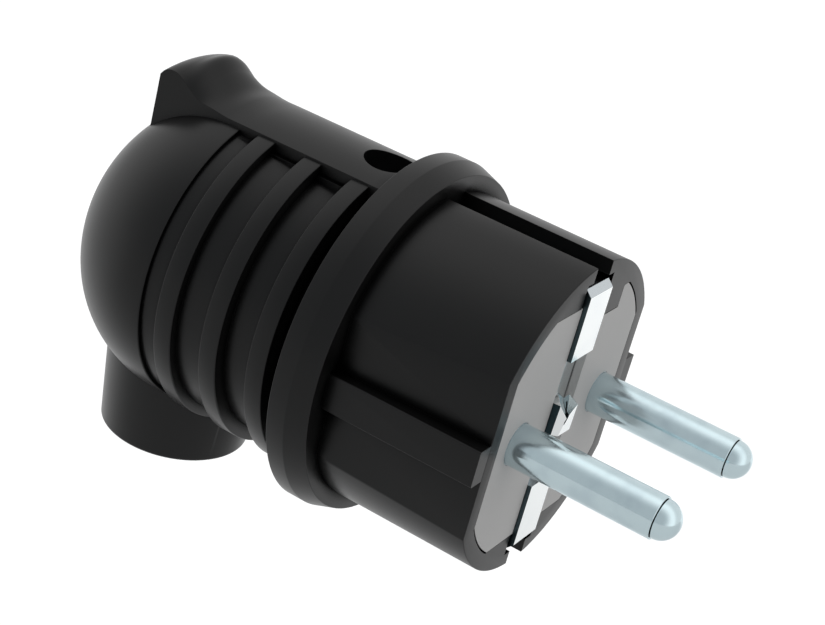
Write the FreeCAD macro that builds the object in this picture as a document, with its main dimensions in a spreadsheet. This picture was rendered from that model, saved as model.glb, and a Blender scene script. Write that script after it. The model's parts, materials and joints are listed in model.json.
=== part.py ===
import FreeCAD, Part
import math
import os
import Sketcher

# Angled mains plug with two round pins and side earth strips, sizes in millimetres.
# The origin is the middle of the front face, between the pins. The pins point along -Y,
# the thumb tab is at +Z and the cable leaves along -Z.

os.makedirs("parts", exist_ok=True)
doc = FreeCAD.newDocument("angled_mains_plug")
sheet = doc.addObject("Spreadsheet::Sheet", "Sizes")

SIZES = {
    # Pins
    "pin_spacing": 19.0,
    "pin_diameter": 4.8,
    "pin_reach": 19.2,
    "pin_tip_step": 0.2,
    "pin_relief": 0.25,
    "pin_collar_diameter": 6.8,
    "pin_collar_depth": 9.0,
    "pin_collar_thickness": 2.0,
    "pin_block_width": 5.0,
    "pin_block_height": 5.4,
    # Front shell, in front of the flange
    "shell_radius": 18.4,
    "shell_length": 18.6,
    "flat_front": 16.05,
    "flat_rear": 16.5,
    "guide_height": 4.2,
    "guide_reach": 18.15,
    "plate_half": 14.0,
    "plate_radius": 16.4,
    "plate_gap": 0.12,
    "lug_left": 3.2,
    "lug_right": 7.4,
    "lug_bottom": 11.4,
    "slot_width": 3.7,
    "pocket_width": 6.2,
    "pocket_reach": 16.7,
    # Flange, neck and spigot
    "flange_front_radius": 19.9,
    "flange_radius": 21.1,
    "flange_chamfer_end": 21.5,
    "flange_rear": 23.65,
    "neck_radius": 16.0,
    "hood_front": 26.0,
    "spigot_radius": 14.1,
    "spigot_bore": 12.0,
    "spigot_end": 33.0,
    "rear_cavity_radius": 13.6,
    "web_thickness": 2.5,
    "web_window_side": 1.5,
    "web_window_margin": 1.8,
    # Carrier and the plate behind it
    "carrier_depth": 11.0,
    "retainer_thickness": 2.5,
    "retainer_inset": 0.2,
    "fit_gap": 0.1,
    # How far a cutting shape or a root reaches past the face that it meets
    "overlap": 0.1,
    # Earth bow, clip and terminal
    "bow_width": 5.2,
    "bow_thickness": 0.8,
    "bow_proud": 0.5,
    "bow_side": 16.1,
    "bow_bend": 0.75,
    "bow_step": 7.7,
    "bow_recess": 1.0,
    "bow_end": 17.4,
    "clip_left": 2.3,
    "clip_right": 1.1,
    "clip_bottom": 1.1,
    "clip_shoulder": 1.9,
    "clip_top": 3.8,
    "clip_proud": 1.45,
    "clip_groove_left": 1.18,
    "clip_groove_height": 0.9,
    "clip_groove_shift": 1.0,
    "clip_groove_climb": 1.65,
    "clip_groove_left_rise": 1.0,
    "clip_groove_right_rise": 0.8,
    "neck_diameter": 4.6,
    "earth_block_half": 3.2,
    # Terminals
    "terminal_end": 22.4,
    "wire_hole_diameter": 3.2,
    "wire_hole_place": 17.2,
    "screw_diameter": 3.0,
    "wire_screw_stand": 0.3,
    "wire_screw_head_diameter": 4.0,
    "wire_screw_head_height": 1.4,
    "wire_screw_room": 0.3,
    "screw_head_diameter": 4.6,
    "screw_head_height": 1.8,
    "screw_slot_width": 0.7,
    "screw_slot_depth": 0.9,
    "terminal_screw_length": 3.1,
    "clamp_plate_thickness": 0.6,
    "carrier_screw_x": 6.5,
    "carrier_screw_z": 8.2,
    "carrier_screw_length": 10.5,
    "carrier_screw_room": 0.5,
    # Hood
    "floor_front_radius": 16.42,
    "floor_rear_radius": 17.6,
    "rib_radius": 18.0,
    "rib_width": 2.05,
    "rib_pitch": 6.37,
    "rib_edge": 0.2,
    "dome_front": 43.05,
    "dome_radius": 18.1,
    "dome_centre": 44.6,
    "dome_length": 16.64,
    "dome_rear_radius": 19.35,
    "hood_bore": 14.3,
    "hood_bore_end": 34.5,
    "hood_inner_radius": 15.0,
    "hood_inner_centre": 44.0,
    # Spine and thumb tab
    "spine_width": 10.4,
    "spine_edge": 17.45,
    "spine_crown": 18.83,
    "spine_front": 23.9,
    "spine_ledge_width": 11.5,
    "spine_ledge": 16.35,
    "spine_cover": 0.2,
    "spine_foot_root": 0.5,
    "tab_cover": 0.8,
    # The thumb tab's sections: place along Y, height of its side edges, height of its crown
    "tab_place_0": 42.0,
    "tab_edge_0": 17.45,
    "tab_crown_0": 18.83,
    "tab_place_1": 43.8,
    "tab_edge_1": 17.45,
    "tab_crown_1": 18.85,
    "tab_place_2": 45.6,
    "tab_edge_2": 17.5,
    "tab_crown_2": 19.35,
    "tab_place_3": 47.7,
    "tab_edge_3": 17.6,
    "tab_crown_3": 20.4,
    "tab_place_4": 49.7,
    "tab_edge_4": 18.1,
    "tab_crown_4": 21.5,
    "tab_place_5": 51.3,
    "tab_edge_5": 18.6,
    "tab_crown_5": 22.0,
    "tab_place_6": 53.0,
    "tab_edge_6": 19.6,
    "tab_crown_6": 21.8,
    "tab_place_7": 54.2,
    "tab_edge_7": 20.15,
    "tab_crown_7": 21.2,
    "tab_place_8": 55.1,
    "tab_edge_8": 19.5,
    "tab_crown_8": 20.3,
    "tab_place_9": 55.7,
    "tab_edge_9": 18.4,
    "tab_crown_9": 19.0,
    # Housing screw in the spine
    "well_diameter": 5.1,
    "well_place": 27.5,
    "housing_screw_seat": 13.2,
    "housing_screw_length": 5.0,
    "housing_boss_width": 8.4,
    "housing_boss_bottom": 7.6,
    "nut_width": 5.5,
    "nut_thickness": 2.0,
    "nut_place": 9.6,
    # Seal ring
    "seal_place": 31.0,
    "seal_groove_width": 1.6,
    "seal_groove_radius": 13.1,
    "seal_gap": 0.05,
    # Cable collar and bush
    "collar_place": 47.3,
    "collar_bottom": 24.7,
    "collar_radius": 9.0,
    "collar_growth": 0.086,
    "collar_top": 11.0,
    "collar_bore": 6.9,
    "collar_lip_bore": 5.6,
    "collar_lip": 1.5,
    "collar_edge": 0.5,
    "collar_root": 1.0,
    "bush_bore": 4.2,
    "bush_length": 9.0,
    # Cord clamp
    "cord_post_x": 7.4,
    "cord_post_z": 8.0,
    "cord_post_radius": 2.6,
    "cord_post_front": 44.0,
    "cord_post_end": 55.4,
    "cord_clamp_half": 9.8,
    "cord_clamp_height": 4.8,
    "cord_clamp_thickness": 3.0,
    "cord_saddle_radius": 4.0,
    "cord_screw_length": 10.0,
    "cord_screw_room": 0.6,
}

TAB_SECTIONS = 10


class Size:
    """A length together with the expression that the document keeps for it."""

    def __init__(self, value, text):
        self.value = float(value)
        self.text = text

    def join(self, other, sign, value, turned=False):
        other_text = other.text if isinstance(other, Size) else repr(float(other))
        first, second = (other_text, self.text) if turned else (self.text, other_text)
        return Size(value, "(" + first + " " + sign + " " + second + ")")

    def __add__(self, other):
        return self.join(other, "+", self.value + number(other))

    def __radd__(self, other):
        return self.join(other, "+", number(other) + self.value, True)

    def __sub__(self, other):
        return self.join(other, "-", self.value - number(other))

    def __rsub__(self, other):
        return self.join(other, "-", number(other) - self.value, True)

    def __mul__(self, other):
        return self.join(other, "*", self.value * number(other))

    def __rmul__(self, other):
        return self.join(other, "*", number(other) * self.value, True)

    def __truediv__(self, other):
        return self.join(other, "/", self.value / number(other))

    def __neg__(self):
        return Size(-self.value, "(0 - " + self.text + ")")


class Driving:
    """The driving dimensions, one attribute for each cell of the sheet."""


def number(size):
    return size.value if isinstance(size, Size) else float(size)


def text(size):
    return size.text if isinstance(size, Size) else repr(float(size))


def leg(hypotenuse, side):
    """The other leg of a right triangle, which is where a flat meets a round."""
    value = math.sqrt(number(hypotenuse) ** 2 - number(side) ** 2)
    return Size(value, "sqrt(" + text(hypotenuse) + " ^ 2 - " + text(side) + " ^ 2)")


def past(distance):
    """A distance, or nothing where it would be negative."""
    return Size(max(0.0, distance.value), "max(0; " + distance.text + ")")


d = Driving()
for row, (alias, value) in enumerate(SIZES.items(), start=1):
    sheet.set("A" + str(row), alias)
    sheet.set("B" + str(row), str(value))
    sheet.setAlias("B" + str(row), alias)
    setattr(d, alias, Size(value, "Sizes." + alias))
doc.recompute()


# Values that several pieces share

pin_x = d.pin_spacing / 2
web_front = d.carrier_depth + d.retainer_thickness
web_rear = web_front + d.web_thickness
rear_cavity_end = (d.terminal_end + d.wire_screw_stand + d.wire_screw_head_height
                   + d.wire_screw_room)
screw_radius = d.screw_diameter / 2
screw_hole = screw_radius + d.fit_gap / 2
rib_fronts = [d.hood_front, d.hood_front + d.rib_pitch, d.hood_front + 2 * d.rib_pitch]
post_x = d.cord_post_x
carrier_screw_places = [(-d.carrier_screw_x, d.carrier_screw_z), (d.carrier_screw_x, -d.carrier_screw_z)]


# Helpers for sketches and features

def make_body(name):
    body = doc.addObject("PartDesign::Body", name)
    body.Label = name
    return body


def make_sketch(body, role, name, shift=0.0, across=0.0):
    """A sketch on one of the body's own planes, moved along its normal and its x axis."""
    sketch = body.newObject("Sketcher::SketchObject", name)
    plane = [item for item in body.Origin.OriginFeatures if item.Role == role][0]
    sketch.AttachmentSupport = [(plane, "")]
    sketch.MapMode = "FlatFace"
    sketch.AttachmentOffset = FreeCAD.Placement(
        FreeCAD.Vector(number(across), 0, number(shift)), FreeCAD.Rotation())
    sketch.setExpression("AttachmentOffset.Base.z", text(shift))
    sketch.setExpression("AttachmentOffset.Base.x", text(across))
    return sketch


def pin_down(sketch, kind, geometry, vertex, size):
    """Fix one coordinate of a vertex to a size."""
    value = number(size)
    index = sketch.addConstraint(Sketcher.Constraint(kind, -1, 1, geometry, vertex, value))
    if isinstance(size, Size):
        sketch.setExpression("Constraints[" + str(index) + "]", size.text)


def outline(sketch, corners):
    """A closed outline. A corner is (x, y), or (x, y, radius, side) after an arc:
    side is +1 where the arc bulges to the left of the way it runs, else -1."""
    count = len(corners)
    points = [FreeCAD.Vector(number(corner[0]), number(corner[1]), 0) for corner in corners]
    first = sketch.GeometryCount
    ends = []
    for step in range(count):
        start = points[step]
        finish = points[(step + 1) % count]
        corner = corners[(step + 1) % count]
        if len(corner) == 2:
            sketch.addGeometry(Part.LineSegment(start, finish), False)
            ends.append((1, 2))
        else:
            radius = number(corner[2])
            chord = finish - start
            left = FreeCAD.Vector(-chord.y, chord.x, 0).normalize()
            depth = math.sqrt(radius ** 2 - (chord.Length / 2) ** 2)
            centre = (start + finish) * 0.5 - left * (depth * corner[3])
            low, high = (finish, start) if corner[3] > 0 else (start, finish)
            low_angle = math.atan2(low.y - centre.y, low.x - centre.x)
            high_angle = math.atan2(high.y - centre.y, high.x - centre.x)
            ring = Part.Circle(centre, FreeCAD.Vector(0, 0, 1), radius)
            sketch.addGeometry(Part.ArcOfCircle(ring, low_angle, high_angle), False)
            ends.append((2, 1) if corner[3] > 0 else (1, 2))
    for step in range(count):
        following = (step + 1) % count
        sketch.addConstraint(Sketcher.Constraint(
            "Coincident", first + step, ends[step][1], first + following, ends[following][0]))
    for step in range(count):
        pin_down(sketch, "DistanceX", first + step, ends[step][0], corners[step][0])
        pin_down(sketch, "DistanceY", first + step, ends[step][0], corners[step][1])
    for step in range(count):
        corner = corners[(step + 1) % count]
        if len(corner) > 2:
            index = sketch.addConstraint(
                Sketcher.Constraint("Radius", first + step, number(corner[2])))
            if isinstance(corner[2], Size):
                sketch.setExpression("Constraints[" + str(index) + "]", corner[2].text)


def rectangle(sketch, low_x, high_x, low_y, high_y):
    outline(sketch, [(low_x, low_y), (high_x, low_y), (high_x, high_y), (low_x, high_y)])


def circle(sketch, centre_x, centre_y, radius):
    centre = FreeCAD.Vector(number(centre_x), number(centre_y), 0)
    index = sketch.addGeometry(Part.Circle(centre, FreeCAD.Vector(0, 0, 1), number(radius)), False)
    pin_down(sketch, "DistanceX", index, 3, centre_x)
    pin_down(sketch, "DistanceY", index, 3, centre_y)
    constraint = sketch.addConstraint(Sketcher.Constraint("Radius", index, number(radius)))
    if isinstance(radius, Size):
        sketch.setExpression("Constraints[" + str(constraint) + "]", radius.text)


def raise_or_cut(body, kind, name, sketch, length, backwards):
    feature = body.newObject("PartDesign::" + kind, name)
    feature.Profile = sketch
    feature.Length = number(length)
    if isinstance(length, Size):
        feature.setExpression("Length", length.text)
    feature.Reversed = backwards
    sketch.Visibility = False
    return feature


def pad_y(body, name, draw, start, length):
    """A pad whose section lies across Y, from start towards +Y."""
    sketch = make_sketch(body, "XZ_Plane", name + "_section", -start)
    draw(sketch)
    return raise_or_cut(body, "Pad", name, sketch, length, True)


def pocket_y(body, name, draw, start, length):
    """A pocket whose section lies across Y, from start towards +Y."""
    sketch = make_sketch(body, "XZ_Plane", name + "_section", -start)
    draw(sketch)
    return raise_or_cut(body, "Pocket", name, sketch, length, False)


def pocket_z(body, name, draw, start, length):
    """A pocket whose section lies across Z, from start towards -Z."""
    sketch = make_sketch(body, "XY_Plane", name + "_section", start)
    draw(sketch)
    return raise_or_cut(body, "Pocket", name, sketch, length, False)


def turn(body, kind, name, sketch, corners):
    """A turned feature around the vertical axis of its sketch."""
    outline(sketch, corners)
    feature = body.newObject("PartDesign::" + kind, name)
    feature.Profile = sketch
    feature.ReferenceAxis = (sketch, ["V_Axis"])
    feature.Angle = 360.0
    sketch.Visibility = False
    return feature


def turn_y(body, kind, name, corners):
    """A turned feature around Y. A corner is (place along Y, radius), and its seam lies
    at +X, away from the slots, the tab and the collar."""
    sketch = make_sketch(body, "XY_Plane", name + "_section")
    turned = [(corner[1], corner[0]) if len(corner) == 2
              else (corner[1], corner[0], corner[2], -corner[3]) for corner in corners]
    return turn(body, kind, name, sketch, turned)


def turn_z(body, kind, name, corners, place):
    """A turned feature around a line along Z at a place on Y. A corner is (radius, height)."""
    sketch = make_sketch(body, "YZ_Plane", name + "_section", 0.0, place)
    return turn(body, kind, name, sketch, corners)


def plate_outline(sketch, half, radius):
    """A square with its corners on a circle, the form of the grey plate."""
    corner = leg(radius, half)
    outline(sketch, [
        (-corner, half, radius, 1),
        (corner, half),
        (half, corner, radius, 1),
        (half, -corner),
        (corner, -half, radius, 1),
        (-corner, -half),
        (-half, -corner, radius, 1),
        (-half, corner),
    ])


# Front shell: black moulding with the flange, guide ribs, earthing slots and spigot

def shell_section(sketch, flat):
    """The round section with a flat on each side."""
    height = leg(d.shell_radius, flat)
    outline(sketch, [
        (-flat, height),
        (flat, height, d.shell_radius, 1),
        (flat, -height),
        (-flat, -height, d.shell_radius, 1),
    ])


def make_front_shell():
    body = make_body("front_shell")
    front = make_sketch(body, "XZ_Plane", "front_section", 0.0)
    shell_section(front, d.flat_front)
    rear = make_sketch(body, "XZ_Plane", "rear_section", -d.shell_length)
    shell_section(rear, d.flat_rear)
    nose = body.newObject("PartDesign::AdditiveLoft", "nose")
    nose.Profile = front
    nose.Sections = [rear]
    nose.Ruled = True
    pad_y(body, "guide_ribs", lambda sketch: rectangle(
        sketch, -d.guide_reach, d.guide_reach, -d.guide_height / 2, d.guide_height / 2),
        0.0, d.shell_length)
    turn_y(body, "Revolution", "flange", [
        (d.shell_length, 0.0),
        (d.shell_length, d.flange_front_radius),
        (d.flange_chamfer_end, d.flange_radius),
        (d.flange_rear, d.flange_radius),
        (d.flange_rear, d.neck_radius),
        (d.hood_front, d.neck_radius),
        (d.hood_front, d.spigot_radius),
        (d.spigot_end, d.spigot_radius),
        (d.spigot_end, 0.0),
    ])
    turn_y(body, "Groove", "rear_cavity", [
        (web_rear, 0.0),
        (web_rear, d.rear_cavity_radius),
        (rear_cavity_end, d.rear_cavity_radius),
        (rear_cavity_end, d.spigot_bore),
        (d.spigot_end, d.spigot_bore),
        (d.spigot_end, 0.0),
    ])
    boss_top = (d.spigot_bore + d.spigot_radius) / 2
    pad_y(body, "nut_boss", lambda sketch: rectangle(
        sketch, -d.housing_boss_width / 2, d.housing_boss_width / 2, d.housing_boss_bottom, boss_top),
        rear_cavity_end, d.spigot_end - rear_cavity_end)
    pocket_y(body, "plate_seat", lambda sketch: plate_outline(
        sketch, d.plate_half + d.plate_gap, d.plate_radius + d.plate_gap), 0.0, web_front)
    pocket_y(body, "pockets", lambda sketch: [rectangle(
        sketch, -d.pocket_width / 2, d.pocket_width / 2, low, high)
        for low, high in ((d.plate_half, d.pocket_reach), (-d.pocket_reach, -d.plate_half))],
        0.0, d.shell_length)
    pocket_y(body, "slots", lambda sketch: [rectangle(
        sketch, -d.slot_width / 2, d.slot_width / 2, low, high)
        for low, high in ((d.pocket_reach - d.overlap, d.shell_radius + d.overlap),
                          (-d.shell_radius - d.overlap, d.overlap - d.pocket_reach))],
        0.0, d.shell_length)
    pad_y(body, "lug", lambda sketch: rectangle(
        sketch, d.lug_left, d.lug_right, d.lug_bottom, d.plate_half + d.plate_gap + d.overlap),
        0.0, web_front)
    window = pin_x + d.pin_block_width / 2 + d.web_window_side
    window_top = d.earth_block_half + d.web_window_margin
    pocket_y(body, "terminal_window", lambda sketch: rectangle(
        sketch, -window, window, -window_top, window_top),
        web_front - d.overlap, d.web_thickness + 2 * d.overlap)
    pocket_y(body, "screw_holes", lambda sketch: [circle(
        sketch, place[0], place[1], screw_hole) for place in carrier_screw_places],
        web_front - d.overlap, d.web_thickness + 2 * d.overlap)
    turn_y(body, "Groove", "seal_groove", [
        (d.seal_place - d.seal_groove_width / 2, d.seal_groove_radius),
        (d.seal_place - d.seal_groove_width / 2, d.spigot_radius + d.overlap),
        (d.seal_place + d.seal_groove_width / 2, d.spigot_radius + d.overlap),
        (d.seal_place + d.seal_groove_width / 2, d.seal_groove_radius),
    ])
    pocket_z(body, "housing_screw_seat", lambda sketch: circle(
        sketch, 0.0, d.well_place, d.well_diameter / 2), d.neck_radius + d.overlap,
        d.neck_radius + d.overlap - d.housing_screw_seat)
    pocket_z(body, "housing_screw_hole", lambda sketch: circle(
        sketch, 0.0, d.well_place, screw_hole), d.housing_screw_seat + d.overlap,
        d.housing_screw_seat + 2 * d.overlap - d.housing_boss_bottom)
    nut_room = d.nut_width / 2 + d.fit_gap
    pocket_z(body, "nut_pocket", lambda sketch: rectangle(
        sketch, -nut_room, nut_room, d.well_place - nut_room, d.spigot_end + d.overlap),
        d.nut_place + d.nut_thickness + d.fit_gap, d.nut_thickness + 2 * d.fit_gap)
    return body


# Contact carrier and retainer: grey mouldings that hold the pins

def notch_for_lug(body, start, length):
    pocket_y(body, "lug_notch", lambda sketch: rectangle(
        sketch, d.lug_left - d.fit_gap, d.lug_right + d.fit_gap,
        d.lug_bottom - d.fit_gap, d.plate_half + d.overlap), start, length)


def make_contact_carrier():
    body = make_body("contact_carrier")
    pad_y(body, "plate", lambda sketch: plate_outline(sketch, d.plate_half, d.plate_radius),
          0.0, d.carrier_depth)
    pocket_y(body, "pin_bores", lambda sketch: [circle(
        sketch, side * pin_x, 0.0, d.pin_diameter / 2 + d.fit_gap / 2) for side in (-1, 1)],
        -d.overlap, d.carrier_depth + 2 * d.overlap)
    pocket_y(body, "collar_seats", lambda sketch: [circle(
        sketch, side * pin_x, 0.0, d.pin_collar_diameter / 2 + d.fit_gap) for side in (-1, 1)],
        d.pin_collar_depth, d.carrier_depth)
    channel = d.bow_width / 2 + d.fit_gap
    pocket_y(body, "bow_channel", lambda sketch: rectangle(
        sketch, -channel, channel, -d.plate_half - d.overlap, d.plate_half + d.overlap),
        -d.overlap, d.bow_thickness - d.bow_proud + d.overlap)
    step = d.bow_step + d.bow_thickness + d.fit_gap
    pocket_y(body, "bow_recess", lambda sketch: rectangle(sketch, -channel, channel, -step, step),
             -d.overlap, d.bow_recess + d.bow_thickness + d.overlap)
    pocket_y(body, "terminal_neck_bore", lambda sketch: circle(
        sketch, 0.0, 0.0, d.neck_diameter / 2 + d.fit_gap / 2), 0.0, d.carrier_depth + d.overlap)
    pocket_y(body, "screw_holes", lambda sketch: [circle(
        sketch, place[0], place[1], screw_hole) for place in carrier_screw_places],
        web_rear - d.carrier_screw_length - d.carrier_screw_room, d.carrier_depth)
    notch_for_lug(body, -d.overlap, d.carrier_depth + 2 * d.overlap)
    return body


def make_pin_retainer():
    body = make_body("pin_retainer")
    pad_y(body, "plate", lambda sketch: plate_outline(
        sketch, d.plate_half - d.retainer_inset, d.plate_radius - d.retainer_inset),
        d.carrier_depth, d.retainer_thickness)
    width = d.pin_block_width / 2 + d.fit_gap
    height = d.pin_block_height / 2 + d.fit_gap
    pocket_y(body, "block_holes", lambda sketch: [rectangle(
        sketch, side * pin_x - width, side * pin_x + width, -height, height) for side in (-1, 1)],
        d.carrier_depth - d.overlap, d.retainer_thickness + 2 * d.overlap)
    pocket_y(body, "neck_hole", lambda sketch: circle(
        sketch, 0.0, 0.0, d.neck_diameter / 2 + d.fit_gap / 2),
        d.carrier_depth - d.overlap, d.retainer_thickness + 2 * d.overlap)
    pocket_y(body, "screw_holes", lambda sketch: [circle(
        sketch, place[0], place[1], screw_hole) for place in carrier_screw_places],
        d.carrier_depth - d.overlap, d.retainer_thickness + 2 * d.overlap)
    notch_for_lug(body, d.carrier_depth - d.overlap, d.retainer_thickness + 2 * d.overlap)
    return body


# Pins and terminals

def cut_terminal_holes(body, block_half):
    """The wire hole along Z and the threaded hole that meets it from the rear."""
    pocket_z(body, "wire_hole", lambda sketch: circle(
        sketch, 0.0, d.wire_hole_place, d.wire_hole_diameter / 2),
        block_half + d.overlap, 2 * (block_half + d.overlap))
    pocket_y(body, "screw_thread", lambda sketch: circle(sketch, 0.0, 0.0, screw_hole),
             d.wire_hole_place, d.terminal_end)


def make_pin(name, side):
    body = make_body(name)
    radius = d.pin_diameter / 2
    tip_radius = radius - d.pin_tip_step
    tip_start = tip_radius - d.pin_reach
    turn_y(body, "Revolution", "round_pin", [
        (-d.pin_reach, 0.0),
        (tip_start, tip_radius, tip_radius, 1),
        (tip_start, radius),
        (0.0, radius),
        (0.0, radius - d.pin_relief),
        (d.pin_collar_depth, radius - d.pin_relief),
        (d.pin_collar_depth, d.pin_collar_diameter / 2),
        (d.pin_collar_depth + d.pin_collar_thickness, d.pin_collar_diameter / 2),
        (d.pin_collar_depth + d.pin_collar_thickness, 0.0),
    ])
    block_front = d.pin_collar_depth + d.pin_collar_thickness
    pad_y(body, "terminal_block", lambda sketch: rectangle(
        sketch, -d.pin_block_width / 2, d.pin_block_width / 2,
        -d.pin_block_height / 2, d.pin_block_height / 2), block_front, d.terminal_end - block_front)
    cut_terminal_holes(body, d.pin_block_height / 2)
    body.Placement.Base.x = number(side * pin_x)
    body.setExpression("Placement.Base.x", text(side * pin_x))
    return body


def make_earth_terminal():
    body = make_body("earth_terminal")
    bow_back = d.bow_recess + d.bow_thickness
    pad_y(body, "neck", lambda sketch: circle(sketch, 0.0, 0.0, d.neck_diameter / 2),
          bow_back, web_front - bow_back)
    half = d.earth_block_half
    pad_y(body, "terminal_block", lambda sketch: rectangle(sketch, -half, half, -half, half),
          web_front, d.terminal_end - web_front)
    cut_terminal_holes(body, half)
    return body


# Earth bow: one folded strip, from the upper slot across the face to the lower slot

def make_earth_bow():
    body = make_body("earth_bow")
    front = -d.bow_proud
    back = d.bow_thickness - d.bow_proud
    mitre = d.bow_thickness * math.tan(math.radians(22.5))
    side = d.bow_side
    upper = [
        (d.bow_end, side - d.bow_thickness),
        (d.bow_end, side),
        (front + d.bow_bend, side),
        (front, side - d.bow_bend),
        (front, d.bow_step),
        (d.bow_recess, d.bow_step),
    ]
    inner = [
        (d.bow_recess + d.bow_thickness, d.bow_step + d.bow_thickness),
        (back, d.bow_step + d.bow_thickness),
        (back, side - d.bow_bend - mitre),
        (front + d.bow_bend + mitre, side - d.bow_thickness),
    ]
    lower = [(place, -height) for place, height in reversed(upper)]
    inner_lower = [(place, -height) for place, height in reversed(inner)]
    sketch = make_sketch(body, "YZ_Plane", "strip_section", -d.bow_width / 2)
    outline(sketch, upper + lower + inner_lower + inner)
    raise_or_cut(body, "Pad", "strip", sketch, d.bow_width, False)
    return body


def make_earth_clip():
    """The head of the earth contact: a lug with a sloping top and a V groove down it."""
    body = make_body("earth_clip")
    sketch = make_sketch(body, "YZ_Plane", "clip_section", -d.clip_left)
    outline(sketch, [
        (d.bow_recess, -d.clip_bottom),
        (d.bow_recess, d.clip_top),
        (0.0, d.clip_top),
        (-d.clip_proud, d.clip_shoulder),
        (-d.clip_proud, -d.clip_bottom),
    ])
    raise_or_cut(body, "Pad", "clip", sketch, d.clip_left + d.clip_right, False)
    left = d.clip_left + d.overlap
    right = d.clip_right + d.overlap
    bottom = d.clip_groove_height
    profile = make_sketch(body, "XZ_Plane", "groove_section", d.clip_proud)
    outline(profile, [
        (-d.clip_groove_left, bottom),
        (right, bottom + d.clip_groove_right_rise),
        (right, 2 * d.clip_top),
        (-left, 2 * d.clip_top),
        (-left, bottom + d.clip_groove_left_rise),
    ])
    groove = raise_or_cut(body, "Pocket", "groove", profile, d.clip_proud + d.bow_recess, False)
    groove.UseCustomVector = True
    groove.AlongSketchNormal = True
    groove.Direction = FreeCAD.Vector(
        number(d.clip_groove_shift), number(d.clip_proud), number(d.clip_groove_climb))
    for axis, size in (("x", d.clip_groove_shift), ("y", d.clip_proud), ("z", d.clip_groove_climb)):
        groove.setExpression("Direction." + axis, size.text)
    return body


# Screws, clamp plates and nut

def bind_place(item, x, y, z, rotation=None):
    item.Placement = FreeCAD.Placement(
        FreeCAD.Vector(number(x), number(y), number(z)), rotation or FreeCAD.Rotation())
    for letter, value in (("x", x), ("y", y), ("z", z)):
        item.setExpression("Placement.Base." + letter, text(value))


TO_REAR = FreeCAD.Rotation(FreeCAD.Vector(1, 0, 0), -90)
TO_FRONT = FreeCAD.Rotation(FreeCAD.Vector(1, 0, 0), 90)
UPRIGHT = FreeCAD.Rotation()


def cylinder(name, radius, height, place, rotation):
    item = doc.addObject("Part::Cylinder", name)
    item.setExpression("Radius", text(radius))
    item.setExpression("Height", text(height))
    bind_place(item, place[0], place[1], place[2], rotation)
    return item


def box(name, width, depth, height, place):
    """A box with its low corner at place."""
    item = doc.addObject("Part::Box", name)
    item.setExpression("Length", text(width))
    item.setExpression("Width", text(depth))
    item.setExpression("Height", text(height))
    bind_place(item, place[0], place[1], place[2])
    return item


def fuse(name, items):
    item = doc.addObject("Part::MultiFuse", name)
    item.Shapes = items
    return item


def cut(name, base, tool):
    item = doc.addObject("Part::Cut", name)
    item.Base = base
    item.Tool = tool
    return item


def group(name, items):
    item = doc.addObject("Part::Compound", name)
    item.Label = name
    item.Links = items
    return item


def slotted_screw(name, seat, length, rotation, axis,
                  head_diameter=d.screw_head_diameter, head_height=d.screw_head_height):
    """A cheese-head screw. seat is the middle of the face under its head, and axis is
    the letter that its shank lies along, with the sign of the way its head faces."""
    shift = {"x": 0.0, "y": 0.0, "z": 0.0}
    letter = axis[1]
    sign = 1.0 if axis[0] == "+" else -1.0

    def along(distance):
        moved = dict(zip("xyz", seat))
        moved[letter] = moved[letter] + sign * distance
        return (moved["x"], moved["y"], moved["z"])

    head = cylinder(name + "_head", head_diameter / 2, head_height, seat, rotation)
    shank = cylinder(name + "_shank", screw_radius, length + d.overlap, along(-length), rotation)
    slot_width = d.screw_slot_width
    reach = head_diameter
    floor = along(head_height - d.screw_slot_depth)
    if letter == "y":
        low = floor[1] if sign > 0 else floor[1] - d.screw_slot_depth
        slot = box(name + "_slot", slot_width, d.screw_slot_depth, reach,
                   (seat[0] - slot_width / 2, low, seat[2] - reach / 2))
    else:
        slot = box(name + "_slot", slot_width, reach, d.screw_slot_depth,
                   (seat[0] - slot_width / 2, seat[1] - reach / 2, floor[2]))
    return cut(name, fuse(name + "_blank", [head, shank]), slot)


def make_terminal_screws():
    """Three wire screws, in the left pin, the earth terminal and the right pin."""
    seat_y = d.terminal_end + d.wire_screw_stand
    return group("terminal_screws", [
        slotted_screw("wire_screw_" + str(index), (x, seat_y, Size(0.0, "0")),
                      d.terminal_screw_length, TO_REAR, "+y",
                      d.wire_screw_head_diameter, d.wire_screw_head_height)
        for index, x in enumerate((-pin_x, Size(0.0, "0"), pin_x))])


def make_clamp_plates():
    """Three round pressure plates, each under the end of its screw."""
    tip = d.terminal_end + d.wire_screw_stand - d.terminal_screw_length
    return group("clamp_plates", [
        cylinder("clamp_plate_" + str(index), screw_radius, d.clamp_plate_thickness,
                 (x, tip - d.clamp_plate_thickness, 0.0), TO_REAR)
        for index, x in enumerate((-pin_x, 0.0, pin_x))])


def make_carrier_screws():
    return group("carrier_screws", [
        slotted_screw("carrier_screw_" + str(index), (place[0], web_rear, place[1]),
                      d.carrier_screw_length, TO_REAR, "+y")
        for index, place in enumerate(carrier_screw_places)])


def make_housing_screw():
    screw = slotted_screw("housing_screw", (Size(0.0, "0"), d.well_place, d.housing_screw_seat),
                          d.housing_screw_length, UPRIGHT, "+z")
    screw.Label = "housing_screw"
    return screw


def make_housing_nut():
    blank = box("nut_blank", d.nut_width, d.nut_width, d.nut_thickness,
                (-d.nut_width / 2, d.well_place - d.nut_width / 2, d.nut_place))
    bore = cylinder("nut_bore", screw_hole, d.nut_thickness + 2 * d.overlap,
                    (0.0, d.well_place, d.nut_place - d.overlap), UPRIGHT)
    nut = cut("housing_nut", blank, bore)
    nut.Label = "housing_nut"
    return nut


# Seal ring in the spigot's groove

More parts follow.
